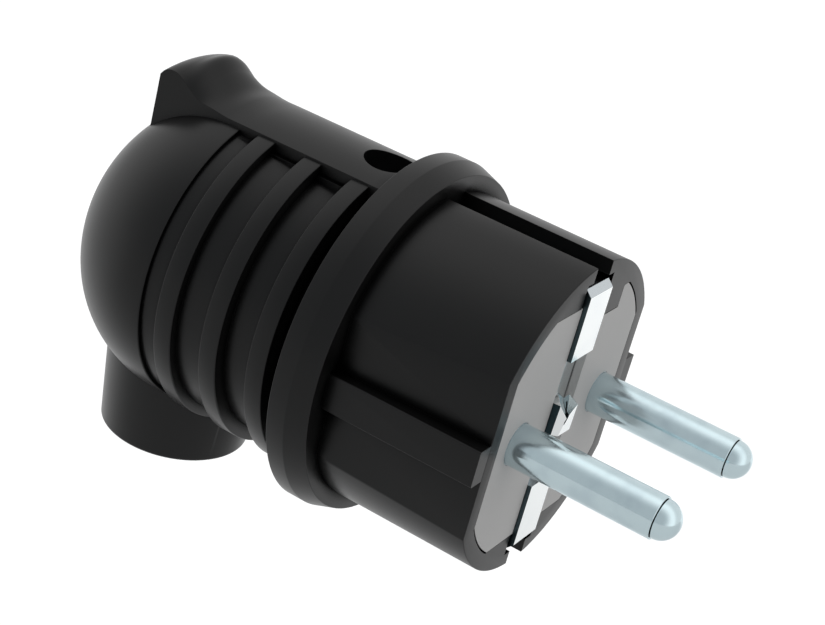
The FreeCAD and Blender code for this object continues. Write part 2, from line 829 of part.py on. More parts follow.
def make_seal_ring():
    """A square-cut ring that stands clear of the groove's floor and the hood's bore."""
    body = make_body("seal_ring")
    half = d.seal_groove_width / 2 - d.fit_gap
    turn_y(body, "Revolution", "ring", [
        (d.seal_place - half, d.seal_groove_radius + d.seal_gap),
        (d.seal_place - half, d.hood_bore - d.seal_gap),
        (d.seal_place + half, d.hood_bore - d.seal_gap),
        (d.seal_place + half, d.seal_groove_radius + d.seal_gap),
    ])
    return body


# Hood: black moulding with grip ribs, dome, spine, thumb tab and cable collar

def floor_radius(place):
    """The radius of the cone between the ribs."""
    slope = (d.floor_rear_radius - d.floor_front_radius) / (d.dome_front - d.hood_front)
    return d.floor_front_radius + slope * (place - d.hood_front)


def hood_outline():
    corners = [(d.hood_front, 0.0)]
    edge = d.rib_edge
    for front in rib_fronts:
        rear = front + d.rib_width
        if front is not rib_fronts[0]:
            corners.append((front, floor_radius(front)))
        corners += [
            (front, d.rib_radius - edge),
            (front + edge, d.rib_radius),
            (rear - edge, d.rib_radius),
            (rear, d.rib_radius - edge),
            (rear, floor_radius(rear)),
        ]
    corners += [
        (d.dome_front, floor_radius(d.dome_front)),
        (d.dome_front, d.dome_radius - edge),
        (d.dome_front + edge, d.dome_radius),
        (d.dome_centre, d.dome_radius),
    ]
    return corners + dome_arcs()


def dome_arcs():
    """The dome's side and rear arcs, which meet smoothly and end square to the axis."""
    rear = d.dome_rear_radius
    side = (rear * rear - (rear - d.dome_length) * (rear - d.dome_length)
            - d.dome_radius * d.dome_radius) / (2 * (rear - d.dome_radius))
    share = side / (rear - side)
    meet_y = d.dome_centre + share * (rear - d.dome_length)
    meet_z = (d.dome_radius - side) * (share + 1)
    return [(meet_y, meet_z, side, 1), (d.dome_centre + d.dome_length, 0.0, rear, 1)]


def crown_section(sketch, low, edge, crown):
    """A block as wide as the spine whose top is an arc from edge to crown height."""
    half = d.spine_width / 2
    rise = crown - edge
    radius = Size((half.value ** 2 + rise.value ** 2) / (2 * rise.value),
                  "((" + half.text + " ^ 2 + " + rise.text + " ^ 2) / (2 * " + rise.text + "))")
    outline(sketch, [(-half, low), (-half, edge), (half, edge, radius, 1), (half, low)])


def make_hood():
    body = make_body("hood")
    turn_y(body, "Revolution", "grip", hood_outline())
    turn_y(body, "Groove", "wiring_space", [
        (d.hood_front - d.overlap, 0.0),
        (d.hood_front - d.overlap, d.hood_bore),
        (d.hood_bore_end, d.hood_bore),
        (d.hood_bore_end, d.hood_inner_radius),
        (d.hood_inner_centre, d.hood_inner_radius),
        (d.hood_inner_centre + d.hood_inner_radius, 0.0, d.hood_inner_radius, 1),
    ])
    make_spine(body)
    make_tab(body)
    turn_z(body, "Revolution", "collar", [
        (0.0, -d.collar_bottom),
        (d.collar_radius - d.collar_edge, -d.collar_bottom),
        (d.collar_radius, d.collar_edge - d.collar_bottom),
        (d.collar_radius + d.collar_growth * (d.collar_bottom - d.collar_top), -d.collar_top),
        (0.0, -d.collar_top),
    ], d.collar_place)
    pocket_z(body, "collar_bore", lambda sketch: circle(
        sketch, 0.0, d.collar_place, d.collar_bore), d.collar_root - d.collar_top,
        d.collar_bottom - d.collar_lip - d.collar_top + d.collar_root)
    pocket_z(body, "collar_mouth", lambda sketch: circle(
        sketch, 0.0, d.collar_place, d.collar_lip_bore), d.collar_root - d.collar_top,
        d.collar_bottom - d.collar_top + d.collar_root + d.overlap)
    pad_y(body, "clamp_posts", lambda sketch: [circle(
        sketch, side * post_x, -d.cord_post_z, d.cord_post_radius) for side in (-1, 1)],
        d.cord_post_front, d.cord_post_end - d.cord_post_front)
    pocket_y(body, "post_holes", lambda sketch: [circle(
        sketch, side * post_x, -d.cord_post_z, screw_hole) for side in (-1, 1)],
        d.cord_post_front - d.overlap,
        d.cord_screw_length - d.cord_clamp_thickness + d.cord_screw_room)
    well = d.well_diameter / 2
    pocket_z(body, "screw_well", lambda sketch: circle(sketch, 0.0, d.well_place, well),
             d.spine_crown + d.overlap, d.spine_crown + d.overlap + well - d.hood_bore)
    return body


def make_spine(body):
    """The flat-topped bar along the top, with a low ledge at its foot and a nose that
    reaches over the neck to the flange."""
    low = d.hood_inner_radius + d.spine_cover
    pad_y(body, "spine_foot", lambda sketch: rectangle(
        sketch, -d.spine_ledge_width / 2, d.spine_ledge_width / 2, low, d.spine_ledge),
        d.hood_front, d.dome_front + d.spine_foot_root - d.hood_front)
    pad_y(body, "spine", lambda sketch: crown_section(sketch, low, d.spine_edge, d.spine_crown),
          d.hood_front, d.tab_place_0 - d.hood_front)
    pad_y(body, "spine_nose", lambda sketch: crown_section(
        sketch, d.neck_radius + d.fit_gap, d.spine_edge, d.spine_crown),
        d.spine_front, d.hood_front - d.spine_front)


def make_tab(body):
    """The tab is lofted through sections across Y, each as wide as the spine, and its
    root stays inside the wall of the dome."""
    sketches = []
    for index in range(TAB_SECTIONS):
        place, edge, crown = [
            getattr(d, "tab_" + word + "_" + str(index)) for word in ("place", "edge", "crown")]
        root = leg(d.hood_inner_radius + d.tab_cover, past(place - d.hood_inner_centre))
        sketch = make_sketch(body, "XZ_Plane", "tab_section_" + str(index), -place)
        crown_section(sketch, root, edge, crown)
        sketches.append(sketch)
    tab = body.newObject("PartDesign::AdditiveLoft", "thumb_tab")
    tab.Profile = sketches[0]
    tab.Sections = sketches[1:]
    tab.Ruled = False
    return tab


# Rubber bush in the collar and the cord clamp inside the hood

def make_entry_bush():
    body = make_body("entry_bush")
    outside = d.collar_bore - d.fit_gap
    bottom = d.collar_lip - d.collar_bottom
    turn_z(body, "Revolution", "bush", [
        (d.bush_bore, bottom),
        (outside, bottom),
        (outside, bottom + d.bush_length),
        (d.bush_bore, bottom + d.bush_length),
    ], d.collar_place)
    return body


def make_cord_clamp():
    body = make_body("cord_clamp")
    half = d.cord_clamp_half
    height = d.cord_clamp_height / 2
    front = d.cord_post_front - d.cord_clamp_thickness
    pad_y(body, "bar", lambda sketch: rectangle(
        sketch, -half, half, -d.cord_post_z - height, height - d.cord_post_z),
        front, d.cord_clamp_thickness)
    pocket_y(body, "screw_holes", lambda sketch: [circle(
        sketch, side * post_x, -d.cord_post_z, screw_hole) for side in (-1, 1)],
        front - d.overlap, d.cord_clamp_thickness + 2 * d.overlap)
    pocket_z(body, "saddle", lambda sketch: circle(
        sketch, 0.0, d.collar_place, d.cord_saddle_radius), 0.0, 2 * d.cord_post_z)
    return body


def make_cord_clamp_screws():
    front = d.cord_post_front - d.cord_clamp_thickness
    return group("cord_clamp_screws", [
        slotted_screw("cord_clamp_screw_" + str(index), (side * post_x, front, -d.cord_post_z),
                      d.cord_screw_length, TO_FRONT, "-y")
        for index, side in enumerate((-1, 1))])


pieces = [
    make_front_shell(),
    make_contact_carrier(),
    make_pin_retainer(),
    make_pin("pin_left", -1),
    make_pin("pin_right", 1),
    make_earth_bow(),
    make_earth_clip(),
    make_earth_terminal(),
    make_terminal_screws(),
    make_clamp_plates(),
    make_carrier_screws(),
    make_hood(),
    make_housing_screw(),
    make_housing_nut(),
    make_seal_ring(),
    make_entry_bush(),
    make_cord_clamp(),
    make_cord_clamp_screws(),
]
doc.recompute()

failed = [item.Name for item in doc.Objects if "Invalid" in item.State or "Error" in item.State]
if failed:
    raise RuntimeError("these objects failed: " + ", ".join(failed))
for piece in pieces:
    if piece.Shape.isNull() or not piece.Shape.isValid():
        raise RuntimeError(piece.Label + " has no valid shape")
    piece.Shape.exportStep("parts/" + piece.Label + ".step")
    print(piece.Label, len(piece.Shape.Solids), round(piece.Shape.Volume, 2))
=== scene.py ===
"""Looks of an angled mains plug: a black ribbed hood with a thumb tab, a black front shell,
a grey contact face, two round pins, side earth strips and a cable collar.

All sizes are in millimetres, in the frame of the solid model: pins along -Y, thumb tab at +Z,
cable leaving along -Z. Meshes are turned to metres when they are finished."""

import json
import logging
import math
from dataclasses import dataclass
from enum import Enum

import bmesh
import bpy
from mathutils import Matrix, Vector


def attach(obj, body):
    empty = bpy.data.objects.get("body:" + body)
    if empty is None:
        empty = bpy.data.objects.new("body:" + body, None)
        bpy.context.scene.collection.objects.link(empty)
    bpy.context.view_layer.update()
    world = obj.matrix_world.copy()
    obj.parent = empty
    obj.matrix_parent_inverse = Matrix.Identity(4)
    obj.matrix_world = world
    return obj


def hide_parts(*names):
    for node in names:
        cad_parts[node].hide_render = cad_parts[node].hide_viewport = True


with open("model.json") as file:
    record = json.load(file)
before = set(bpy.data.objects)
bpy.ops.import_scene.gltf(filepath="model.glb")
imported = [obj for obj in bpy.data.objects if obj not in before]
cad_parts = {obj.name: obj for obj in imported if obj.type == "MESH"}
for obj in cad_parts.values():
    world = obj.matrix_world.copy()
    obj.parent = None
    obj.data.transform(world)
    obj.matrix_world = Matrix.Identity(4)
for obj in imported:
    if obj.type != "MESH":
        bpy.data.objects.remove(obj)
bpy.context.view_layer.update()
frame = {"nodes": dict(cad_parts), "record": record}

MM = 0.001
ROUND = 256
log = logging.getLogger("plug")

Point = tuple[float, float]
Corner = tuple[float, float, float]
Colour = tuple[float, float, float, float]


class Axis(Enum):
    """The axis that a turned or pushed piece follows."""

    X = "x"
    Y = "y"
    Z = "z"


class Blend(Enum):
    """What a boolean does with the second solid."""

    ADD = "UNION"
    CUT = "DIFFERENCE"


# Shader graphs


class Signal:
    """A socket of a node graph, with arithmetic that adds Math nodes to the graph."""

    def __init__(self, graph: "Graph", socket: bpy.types.NodeSocket) -> None:
        """Args:
            graph: The graph that new nodes go into.
            socket: The output socket that this signal stands for.
        """
        self.graph = graph
        self.socket = socket

    def __add__(self, other: object) -> "Signal":
        """Sum of two signals."""
        return self.graph.math("ADD", self, other)

    def __radd__(self, other: object) -> "Signal":
        """Sum with the number first."""
        return self.graph.math("ADD", other, self)

    def __sub__(self, other: object) -> "Signal":
        """Difference of two signals."""
        return self.graph.math("SUBTRACT", self, other)

    def __rsub__(self, other: object) -> "Signal":
        """Difference with the number first."""
        return self.graph.math("SUBTRACT", other, self)

    def __mul__(self, other: object) -> "Signal":
        """Product of two signals."""
        return self.graph.math("MULTIPLY", self, other)

    def __rmul__(self, other: object) -> "Signal":
        """Product with the number first."""
        return self.graph.math("MULTIPLY", other, self)

    def step(self, low: float, high: float) -> "Signal":
        """A smooth step from 0 at low to 1 at high."""
        settings = {"interpolation_type": "SMOOTHSTEP"}
        inputs = {"Value": self, "From Min": low, "From Max": high}
        return self.graph.node("ShaderNodeMapRange", settings, inputs)


class Graph:
    """A node tree that is filled from Python expressions."""

    def __init__(self, tree: bpy.types.NodeTree) -> None:
        """Args:
            tree: The node tree, which is emptied first.
        """
        self.tree = tree
        tree.nodes.clear()

    def node(self, kind: str, settings: dict, inputs: dict, output: object = 0) -> Signal:
        """Add one node.

        Args:
            kind: The node's type name.
            settings: Its properties, set before its sockets.
            inputs: Values or signals for its sockets, by name or place.
            output: The name or place of the output that is returned.

        Returns:
            The chosen output.
        """
        made = self.tree.nodes.new(kind)
        for key, value in settings.items():
            setattr(made, key, value)
        for key, value in inputs.items():
            socket = made.inputs[key]
            if isinstance(value, Signal):
                self.tree.links.new(value.socket, socket)
            else:
                socket.default_value = value
        return Signal(self, made.outputs[output])

    def math(self, operation: str, *values: object) -> Signal:
        """Add a Math node.

        Args:
            operation: The Math node's operation.
            values: What goes into its inputs, in order.

        Returns:
            The node's result.
        """
        return self.node("ShaderNodeMath", {"operation": operation}, dict(enumerate(values)))

    def mix(self, factor: object, first: object, second: object) -> Signal:
        """Mix two colours.

        Args:
            factor: How much of the second colour shows, 0 to 1.
            first: The colour at 0.
            second: The colour at 1.

        Returns:
            The mixed colour.
        """
        made = self.tree.nodes.new("ShaderNodeMix")
        made.data_type = "RGBA"
        for place, value in ((0, factor), (6, first), (7, second)):
            if isinstance(value, Signal):
                self.tree.links.new(value.socket, made.inputs[place])
            else:
                made.inputs[place].default_value = value
        return Signal(self, made.outputs[2])

    def place(self) -> Signal:
        """The place on the piece, in metres."""
        return self.node("ShaderNodeTexCoord", {}, {}, "Object")

    def facing(self, axis: str) -> Signal:
        """One part of the way that the surface faces, in the piece's own space."""
        normal = self.node("ShaderNodeTexCoord", {}, {}, "Normal")
        return self.node("ShaderNodeSeparateXYZ", {}, {"Vector": normal}, axis)

    def noise(self, scale: float, detail: float = 3.0, stretch: Corner = (1.0, 1.0, 1.0)) -> Signal:
        """Noise in the piece's own space.

        Args:
            scale: How many grains lie in a metre.
            detail: The noise's octaves.
            stretch: The scale along each axis.

        Returns:
            The noise, about 0.5 on average.
        """
        moved = self.node("ShaderNodeMapping", {}, {"Vector": self.place(), "Scale": stretch})
        return self.node("ShaderNodeTexNoise", {}, {"Vector": moved, "Scale": scale, "Detail": detail})

    def painted_crevice_shade(self, reach: float, low: float, high: float) -> Signal:
        """How much painted shade a place gets where nearby surfaces hem it in, as ambient occlusion finds
        it.

        Args:
            reach: How far round a point its neighbours count, in millimetres.
            low: The open share of the surroundings at which a place counts as shut in.
            high: The open share at which it counts as free.

        Returns:
            1 where the painted shade is full and 0 on a free surface.
        """
        # painted shade: ambient occlusion turned into a mask that darkens hemmed-in places
        free = self.node("ShaderNodeAmbientOcclusion", {"samples": 8}, {"Distance": reach * MM}, "AO")
        return 1.0 - free.step(low, high)

    def relief(self, height: Signal, depth: float, strength: float, edge: float) -> Signal:
        """The surface's normal with softened edges and a fine relief.

        Args:
            height: The relief, 0 to 1.
            depth: The relief's depth in millimetres.
            strength: The strength of the bump, 0 to 1.
            edge: The radius of the softened edges in millimetres.

        Returns:
            The normal.
        """
        soft = self.node("ShaderNodeBevel", {"samples": 6}, {"Radius": edge * MM})
        inputs = {"Height": height, "Distance": depth * MM, "Strength": strength, "Normal": soft}
        return self.node("ShaderNodeBump", {}, inputs)


def new_material(name: str) -> tuple[bpy.types.Material, Graph]:
    """Make an empty material.

    Args:
        name: The material's name.

    Returns:
        The material and its graph.
    """
    material = bpy.data.materials.new(name)
    material.use_nodes = True
    return material, Graph(material.node_tree)


def close_material(graph: Graph, inputs: dict, dull: Signal | None = None) -> None:
    """Add the shader and the output of a material.

    Args:
        graph: The material's graph.
        inputs: Values or signals for the Principled shader.
        dull: Where given, how much painted shade shows: a lightless black in place of the finish.
    """
    shader = graph.node("ShaderNodeBsdfPrincipled", {}, inputs)
    if dull is not None:
        # painted shade: a lightless black that replaces the finish where the mask is 1
        black = graph.node("ShaderNodeBsdfPrincipled", {}, {
            "Base Color": grey(0.0008), "Roughness": 1.0, "Specular IOR Level": 0.0})
        shader = graph.node("ShaderNodeMixShader", {}, {0: dull, 1: shader, 2: black})
    output = graph.tree.nodes.new("ShaderNodeOutputMaterial")
    graph.tree.links.new(shader.socket, output.inputs["Surface"])


def grey(value: float, tint: float = 0.0) -> Colour:
    """A grey that is a little blue where tint is above 0 and warm where it is below."""
    return (value * (1.0 - tint), value, value * (1.0 + tint), 1.0)


@dataclass(frozen=True)
class MouldedPlastic:
    """A moulded plastic with a fine spark-eroded grain, slightly uneven gloss and painted black shade in
    its hemmed-in places.
    """

    name: str
    tone: float
    tint: float = 0.0
    variation: float = 0.1
    roughness: float = 0.35
    gloss_change: float = 0.06
    ior: float = 1.45
    grain_per_mm: float = 7.0
    grain_depth: float = 0.012
    grain_strength: float = 0.25
    grain_gloss: float = 0.04
    edge: float = 0.07
    crevice_shade_reach: float = 2.8
    crevice_shade_band: Point = (0.4, 0.82)

    def make(self) -> bpy.types.Material:
        """Returns the material."""
        material, graph = new_material(self.name)
        cloud = graph.noise(120.0, 4.0)
        grain = graph.noise(self.grain_per_mm / MM, 2.0)
        light = grey(self.tone * (1.0 + self.variation), self.tint)
        dark = grey(self.tone * (1.0 - self.variation), self.tint)
        # painted shade: a lightless black mixed in where ambient occlusion finds the surface hemmed in
        close_material(graph, {
            "Base Color": graph.mix(cloud, dark, light),
            "Roughness": cloud * self.gloss_change + grain * self.grain_gloss + (self.roughness - 0.05),
            "IOR": self.ior,
            "Normal": graph.relief(grain, self.grain_depth, self.grain_strength, self.edge),
        }, graph.painted_crevice_shade(self.crevice_shade_reach, *self.crevice_shade_band))
        return material


@dataclass(frozen=True)
class PlatedMetal:
    """A plated metal with fine marks along or around it and a few darker patches. Painted shade
    darkens its hollows and, where they are given, its sides and its tops."""

    name: str
    colour: Colour
    shade: Colour
    roughness: float = 0.2
    marks_per_mm: float = 9.0
    stretch: Corner = (1.0, 1.0, 1.0)
    mark_depth: float = 0.004
    edge: float = 0.05
    side_shade: Colour | None = None
    side_shade_band: Point = (0.95, 0.99)
    side_dullness: float = 0.18
    top_shade: Colour | None = None
    top_shade_band: Point = (0.2, 0.45)
    top_shade_limit: Point = (0.35, 0.6)
    hollow_shade_colour: Colour = (0.006, 0.008, 0.009, 1.0)
    crevice_shade_reach: float = 0.8
    crevice_shade_band: Point = (0.2, 0.55)

    def make(self) -> bpy.types.Material:
        """Returns the material."""
        material, graph = new_material(self.name)
        cloud = graph.noise(260.0, 4.0)
        marks = graph.noise(self.marks_per_mm / MM, 2.0, self.stretch)
        patches = cloud.step(0.42, 0.7)
        colour = graph.mix(patches, self.colour, self.shade)
        roughness = marks * 0.08 + patches * 0.06 + (self.roughness - 0.05)
        # painted shade: faces that look along X take a darker tone, and are also made rougher
        if self.side_shade is not None:
            side = graph.math("ABSOLUTE", graph.facing("X")).step(*self.side_shade_band)
            colour = graph.mix(side, colour, self.side_shade)
            roughness = roughness + side * self.side_dullness
        # painted shade: upward faces, except those that look towards -X, take a darker tone
        if self.top_shade is not None:
            leftward = (graph.facing("X") * -1.0).step(*self.top_shade_limit)
            top = graph.facing("Z").step(*self.top_shade_band) * (1.0 - leftward)
            colour = graph.mix(top, colour, self.top_shade)
        # painted shade: hollows found by ambient occlusion take a near-black colour
        hollow = graph.painted_crevice_shade(self.crevice_shade_reach, *self.crevice_shade_band)
        close_material(graph, {
            "Base Color": graph.mix(hollow, colour, self.hollow_shade_colour),
            "Metallic": 1.0,
            "Roughness": roughness,
            "Normal": graph.relief(marks, self.mark_depth, 0.3, self.edge),
        })
        return material


@dataclass(frozen=True)
class SoftRubber:
    """A dull rubber with a fine dusty bloom."""

    name: str
    tone: float = 0.02
    bloom_gain: float = 1.8
    roughness: float = 0.7

    def make(self) -> bpy.types.Material:
        """Returns the material."""
        material, graph = new_material(self.name)
        bloom = graph.noise(500.0, 5.0).step(0.4, 0.75)
        grain = graph.noise(5.0 / MM, 2.0)
        close_material(graph, {
            "Base Color": graph.mix(bloom, grey(self.tone), grey(self.tone * self.bloom_gain)),
            "Roughness": bloom * 0.1 + (self.roughness - 0.05),
            "Normal": graph.relief(grain, 0.02, 0.3, 0.15),
        })
        return material


# Both mouldings go black in hemmed-in places by painted shade; the grey one only within 0.3 mm.
BLACK_PLASTIC = MouldedPlastic("black_satin_moulding", tone=0.0028, roughness=0.33, ior=1.37)
GREY_PLASTIC = MouldedPlastic(
    "grey_matt_moulding", tone=0.4, tint=-0.012, variation=0.05, roughness=0.55, ior=1.45,
    grain_per_mm=6.0, grain_depth=0.02, grain_strength=0.35, edge=0.05, crevice_shade_reach=0.3)
# The pins, like every plated metal here, get painted shade in their hollows.
PIN_PLATE = PlatedMetal(
    "nickel_plate_turned", (0.68, 0.82, 0.86, 1.0), (0.6, 0.73, 0.78, 1.0),
    roughness=0.16, marks_per_mm=10.0, stretch=(0.15, 1.0, 0.15))
# Painted shade: darker tones on the strip's and the clip's sides and tops.
STRIP_PLATE = PlatedMetal(
    "nickel_plate_rolled", (0.97, 1.0, 1.0, 1.0), (0.93, 0.97, 0.98, 1.0),
    roughness=0.13, marks_per_mm=8.0, stretch=(1.0, 0.2, 0.1), side_shade=(0.07, 0.1, 0.11, 1.0),
    top_shade=(0.66, 0.71, 0.74, 1.0))
# Painted shade: the clip's sides and its upward faces are much darker than its front.
CLIP_PLATE = PlatedMetal(
    "nickel_plate_pressed", (0.97, 1.0, 1.0, 1.0), (0.93, 0.97, 0.98, 1.0),
    roughness=0.13, marks_per_mm=8.0, side_shade=(0.04, 0.065, 0.075, 1.0),
    top_shade=(0.16, 0.22, 0.24, 1.0))
BRASS = PlatedMetal(
    "machined_brass", (0.72, 0.53, 0.24, 1.0), (0.6, 0.42, 0.18, 1.0), roughness=0.3)
ZINC_STEEL = PlatedMetal(
    "zinc_plated_steel", (0.6, 0.61, 0.6, 1.0), (0.5, 0.51, 0.5, 1.0), roughness=0.35)
RUBBER = SoftRubber("black_rubber")


# Mesh building


def fillet(corners: list[Corner], steps: int = 5) -> list[Point]:
    """Round the corners of a polyline.

    Args:
        corners: Points with the radius of the round at each; 0 keeps a corner sharp.
        steps: How many segments each round gets.

    Returns:
        The points of the rounded polyline.
    """
    points: list[Point] = []
    count = len(corners)
    for index, (x, y, radius) in enumerate(corners):
        here = Vector((x, y))
        if radius <= 0.0:
            points.append((x, y))
            continue
        before = (Vector(corners[index - 1][:2]) - here).normalized()
        after = (Vector(corners[(index + 1) % count][:2]) - here).normalized()
        half = before.angle(after) / 2.0
        reach = radius / math.tan(half)
        start = here + before * reach
        finish = here + after * reach
        centre = here + (before + after).normalized() * (radius / math.sin(half))
        for step in range(steps + 1):
            share = step / steps
            spoke = (start - centre).lerp(finish - centre, share).normalized() * radius
            points.append(tuple(centre + spoke))
    return points


def arc(centre: Point, radius: float, start: float, finish: float, steps: int) -> list[Point]:
    """Points on an arc, both ends included.

    Args:
        centre: The arc's centre.
        radius: Its radius.
        start: The first angle in degrees.
        finish: The last angle in degrees.
        steps: How many segments it gets.

    Returns:
        The points.
    """
    points = []
    for step in range(steps + 1):
        angle = math.radians(start + (finish - start) * step / steps)
        points.append((centre[0] + radius * math.cos(angle), centre[1] + radius * math.sin(angle)))
    return points


class Solid:
    """A closed mesh in millimetres that grows by booleans and then becomes a piece."""

    def __init__(self, name: str, vertices: list, faces: list) -> None:
        """Args:
            name: The object's name.
            vertices: The places of the vertices.
            faces: The vertices of each face.
        """
        mesh = bpy.data.meshes.new(name)
        mesh.from_pydata([tuple(vertex) for vertex in vertices], [], faces)
        self.item = bpy.data.objects.new(name, mesh)
        bpy.context.scene.collection.objects.link(self.item)
        self.clean()

    def clean(self) -> None:
        """Merge doubles and point the faces outwards."""
        work = bmesh.new()
        work.from_mesh(self.item.data)
        bmesh.ops.remove_doubles(work, verts=work.verts, dist=1e-5)
        bmesh.ops.recalc_face_normals(work, faces=work.faces)
        work.to_mesh(self.item.data)
        work.free()

    def bake(self) -> None:
        """Turn the object's modifiers into its mesh."""
        bpy.context.view_layer.update()
        graph = bpy.context.evaluated_depsgraph_get()
        mesh = bpy.data.meshes.new_from_object(self.item.evaluated_get(graph))
        self.item.modifiers.clear()
        self.item.data = mesh

    def join(self, other: "Solid", blend: Blend) -> "Solid":
        """Add or cut another solid, which is used up.

        Args:
            other: The other solid.
            blend: Whether it is added or cut.

        Returns:
            This solid.
        """
        modifier = self.item.modifiers.new("join", "BOOLEAN")
        modifier.operation = blend.value
        modifier.solver = "EXACT"
        modifier.object = other.item
        self.bake()
        bpy.data.objects.remove(other.item)
        return self

    def add(self, *others: "Solid") -> "Solid":
        """Add solids to this one."""
        for other in others:
            self.join(other, Blend.ADD)
        return self

    def cut(self, *others: "Solid") -> "Solid":
        """Cut solids out of this one."""
        for other in others:
            self.join(other, Blend.CUT)
        return self

    def finish(self, material: bpy.types.Material, slot: str, *nodes: str,
               sharp: float = 32.0) -> bpy.types.Object:
        """Turn the solid into a finished piece in metres.

        Args:
            material: The piece's material.
            slot: The record's material slot; not used.
            nodes: The solid model's nodes that the piece stands for.
            sharp: The angle in degrees from which an edge is sharp.

        Returns:
            The piece.
        """
        mesh = self.item.data
        mesh.transform(Matrix.Scale(MM, 4))
        mesh.materials.clear()
        mesh.materials.append(material)
        mesh.shade_smooth()
        mesh.set_sharp_from_angle(angle=math.radians(sharp))
        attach(self.item, "root")
        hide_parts(*nodes)
        log.info("%s: %d faces, stands for %s", self.item.name, len(mesh.polygons), ", ".join(nodes))
        return self.item


def lathe(name: str, profile: list[Point], axis: Axis, place: float = 0.0,
          across: Point = (0.0, 0.0), segments: int = ROUND) -> Solid:
    """A closed solid turned about an axis.

    Args:
        name: The solid's name.
        profile: Points (along the axis, radius); the profile is closed back to its start.
        axis: The axis.
        place: For Z, the axis's place on Y.
        across: For Y, the axis's place on X and Z.
        segments: How many steps go round.

    Returns:
        The solid.
    """
    vertices = []
    rings = []
    for along, radius in profile:
        ring = []
        for step in range(1 if radius <= 0.0 else segments):
            angle = 2.0 * math.pi * step / segments
            side, up = radius * math.cos(angle), radius * math.sin(angle)
            if axis is Axis.Y:
                vertices.append((across[0] + side, along, across[1] + up))
            else:
                vertices.append((side, place + up, along))
            ring.append(len(vertices) - 1)
        rings.append(ring)
    faces = []
    for first, second in zip(rings, rings[1:] + rings[:1]):
        if len(first) == 1 and len(second) == 1:
            continue
        for step in range(segments):
            following = (step + 1) % segments
            if len(first) == 1:
                faces.append((first[0], second[step], second[following]))
            elif len(second) == 1:
                faces.append((first[step], first[following], second[0]))
            else:
                faces.append((first[step], first[following], second[following], second[step]))
    return Solid(name, vertices, faces)


def loft(name: str, rings: list[list[Corner]]) -> Solid:
    """A closed solid through rings of as many points each, with flat ends.

    Args:
        name: The solid's name.
        rings: The rings' points in space.

    Returns:
        The solid.
    """
    count = len(rings[0])
    vertices = [point for ring in rings for point in ring]
    faces = [tuple(range(count)), tuple(range(len(vertices) - count, len(vertices)))]
    for level in range(len(rings) - 1):
        base = level * count
        for step in range(count):
            following = (step + 1) % count
            faces.append((base + step, base + following,
                          base + count + following, base + count + step))
    return Solid(name, vertices, faces)


def prism(name: str, section: list[Point], low: float, high: float,
          axis: Axis = Axis.Y) -> Solid:
    """A section pushed along an axis.

    Args:
        name: The solid's name.
        section: Its points: (x, z) for Y and (y, z) for X.
        low: Where it starts along the axis.
        high: Where it ends.
        axis: The axis, X or Y.

    Returns:
        The solid.
    """
    rings = []
    for level in (low, high):
        if axis is Axis.X:
            rings.append([(level, a, b) for a, b in section])
        else:
            rings.append([(a, level, b) for a, b in section])
    return loft(name, rings)


def block(name: str, low: Corner, high: Corner) -> Solid:
    """A box between two corners."""
    section = [(low[0], low[2]), (high[0], low[2]), (high[0], high[2]), (low[0], high[2])]
    return prism(name, section, low[1], high[1])


def rod(name: str, radius: float, low: Corner, high: Corner, axis: Axis) -> Solid:
    """A round bar between the middles of its two ends."""
    if axis is Axis.Y:
        profile = [(low[1], 0.0), (low[1], radius), (high[1], radius), (high[1], 0.0)]
        return lathe(name, profile, axis, across=(low[0], low[2]), segments=96)
    profile = [(low[2], 0.0), (low[2], radius), (high[2], radius), (high[2], 0.0)]
    return lathe(name, profile, axis, place=low[1], segments=96)


# Sub-assemblies


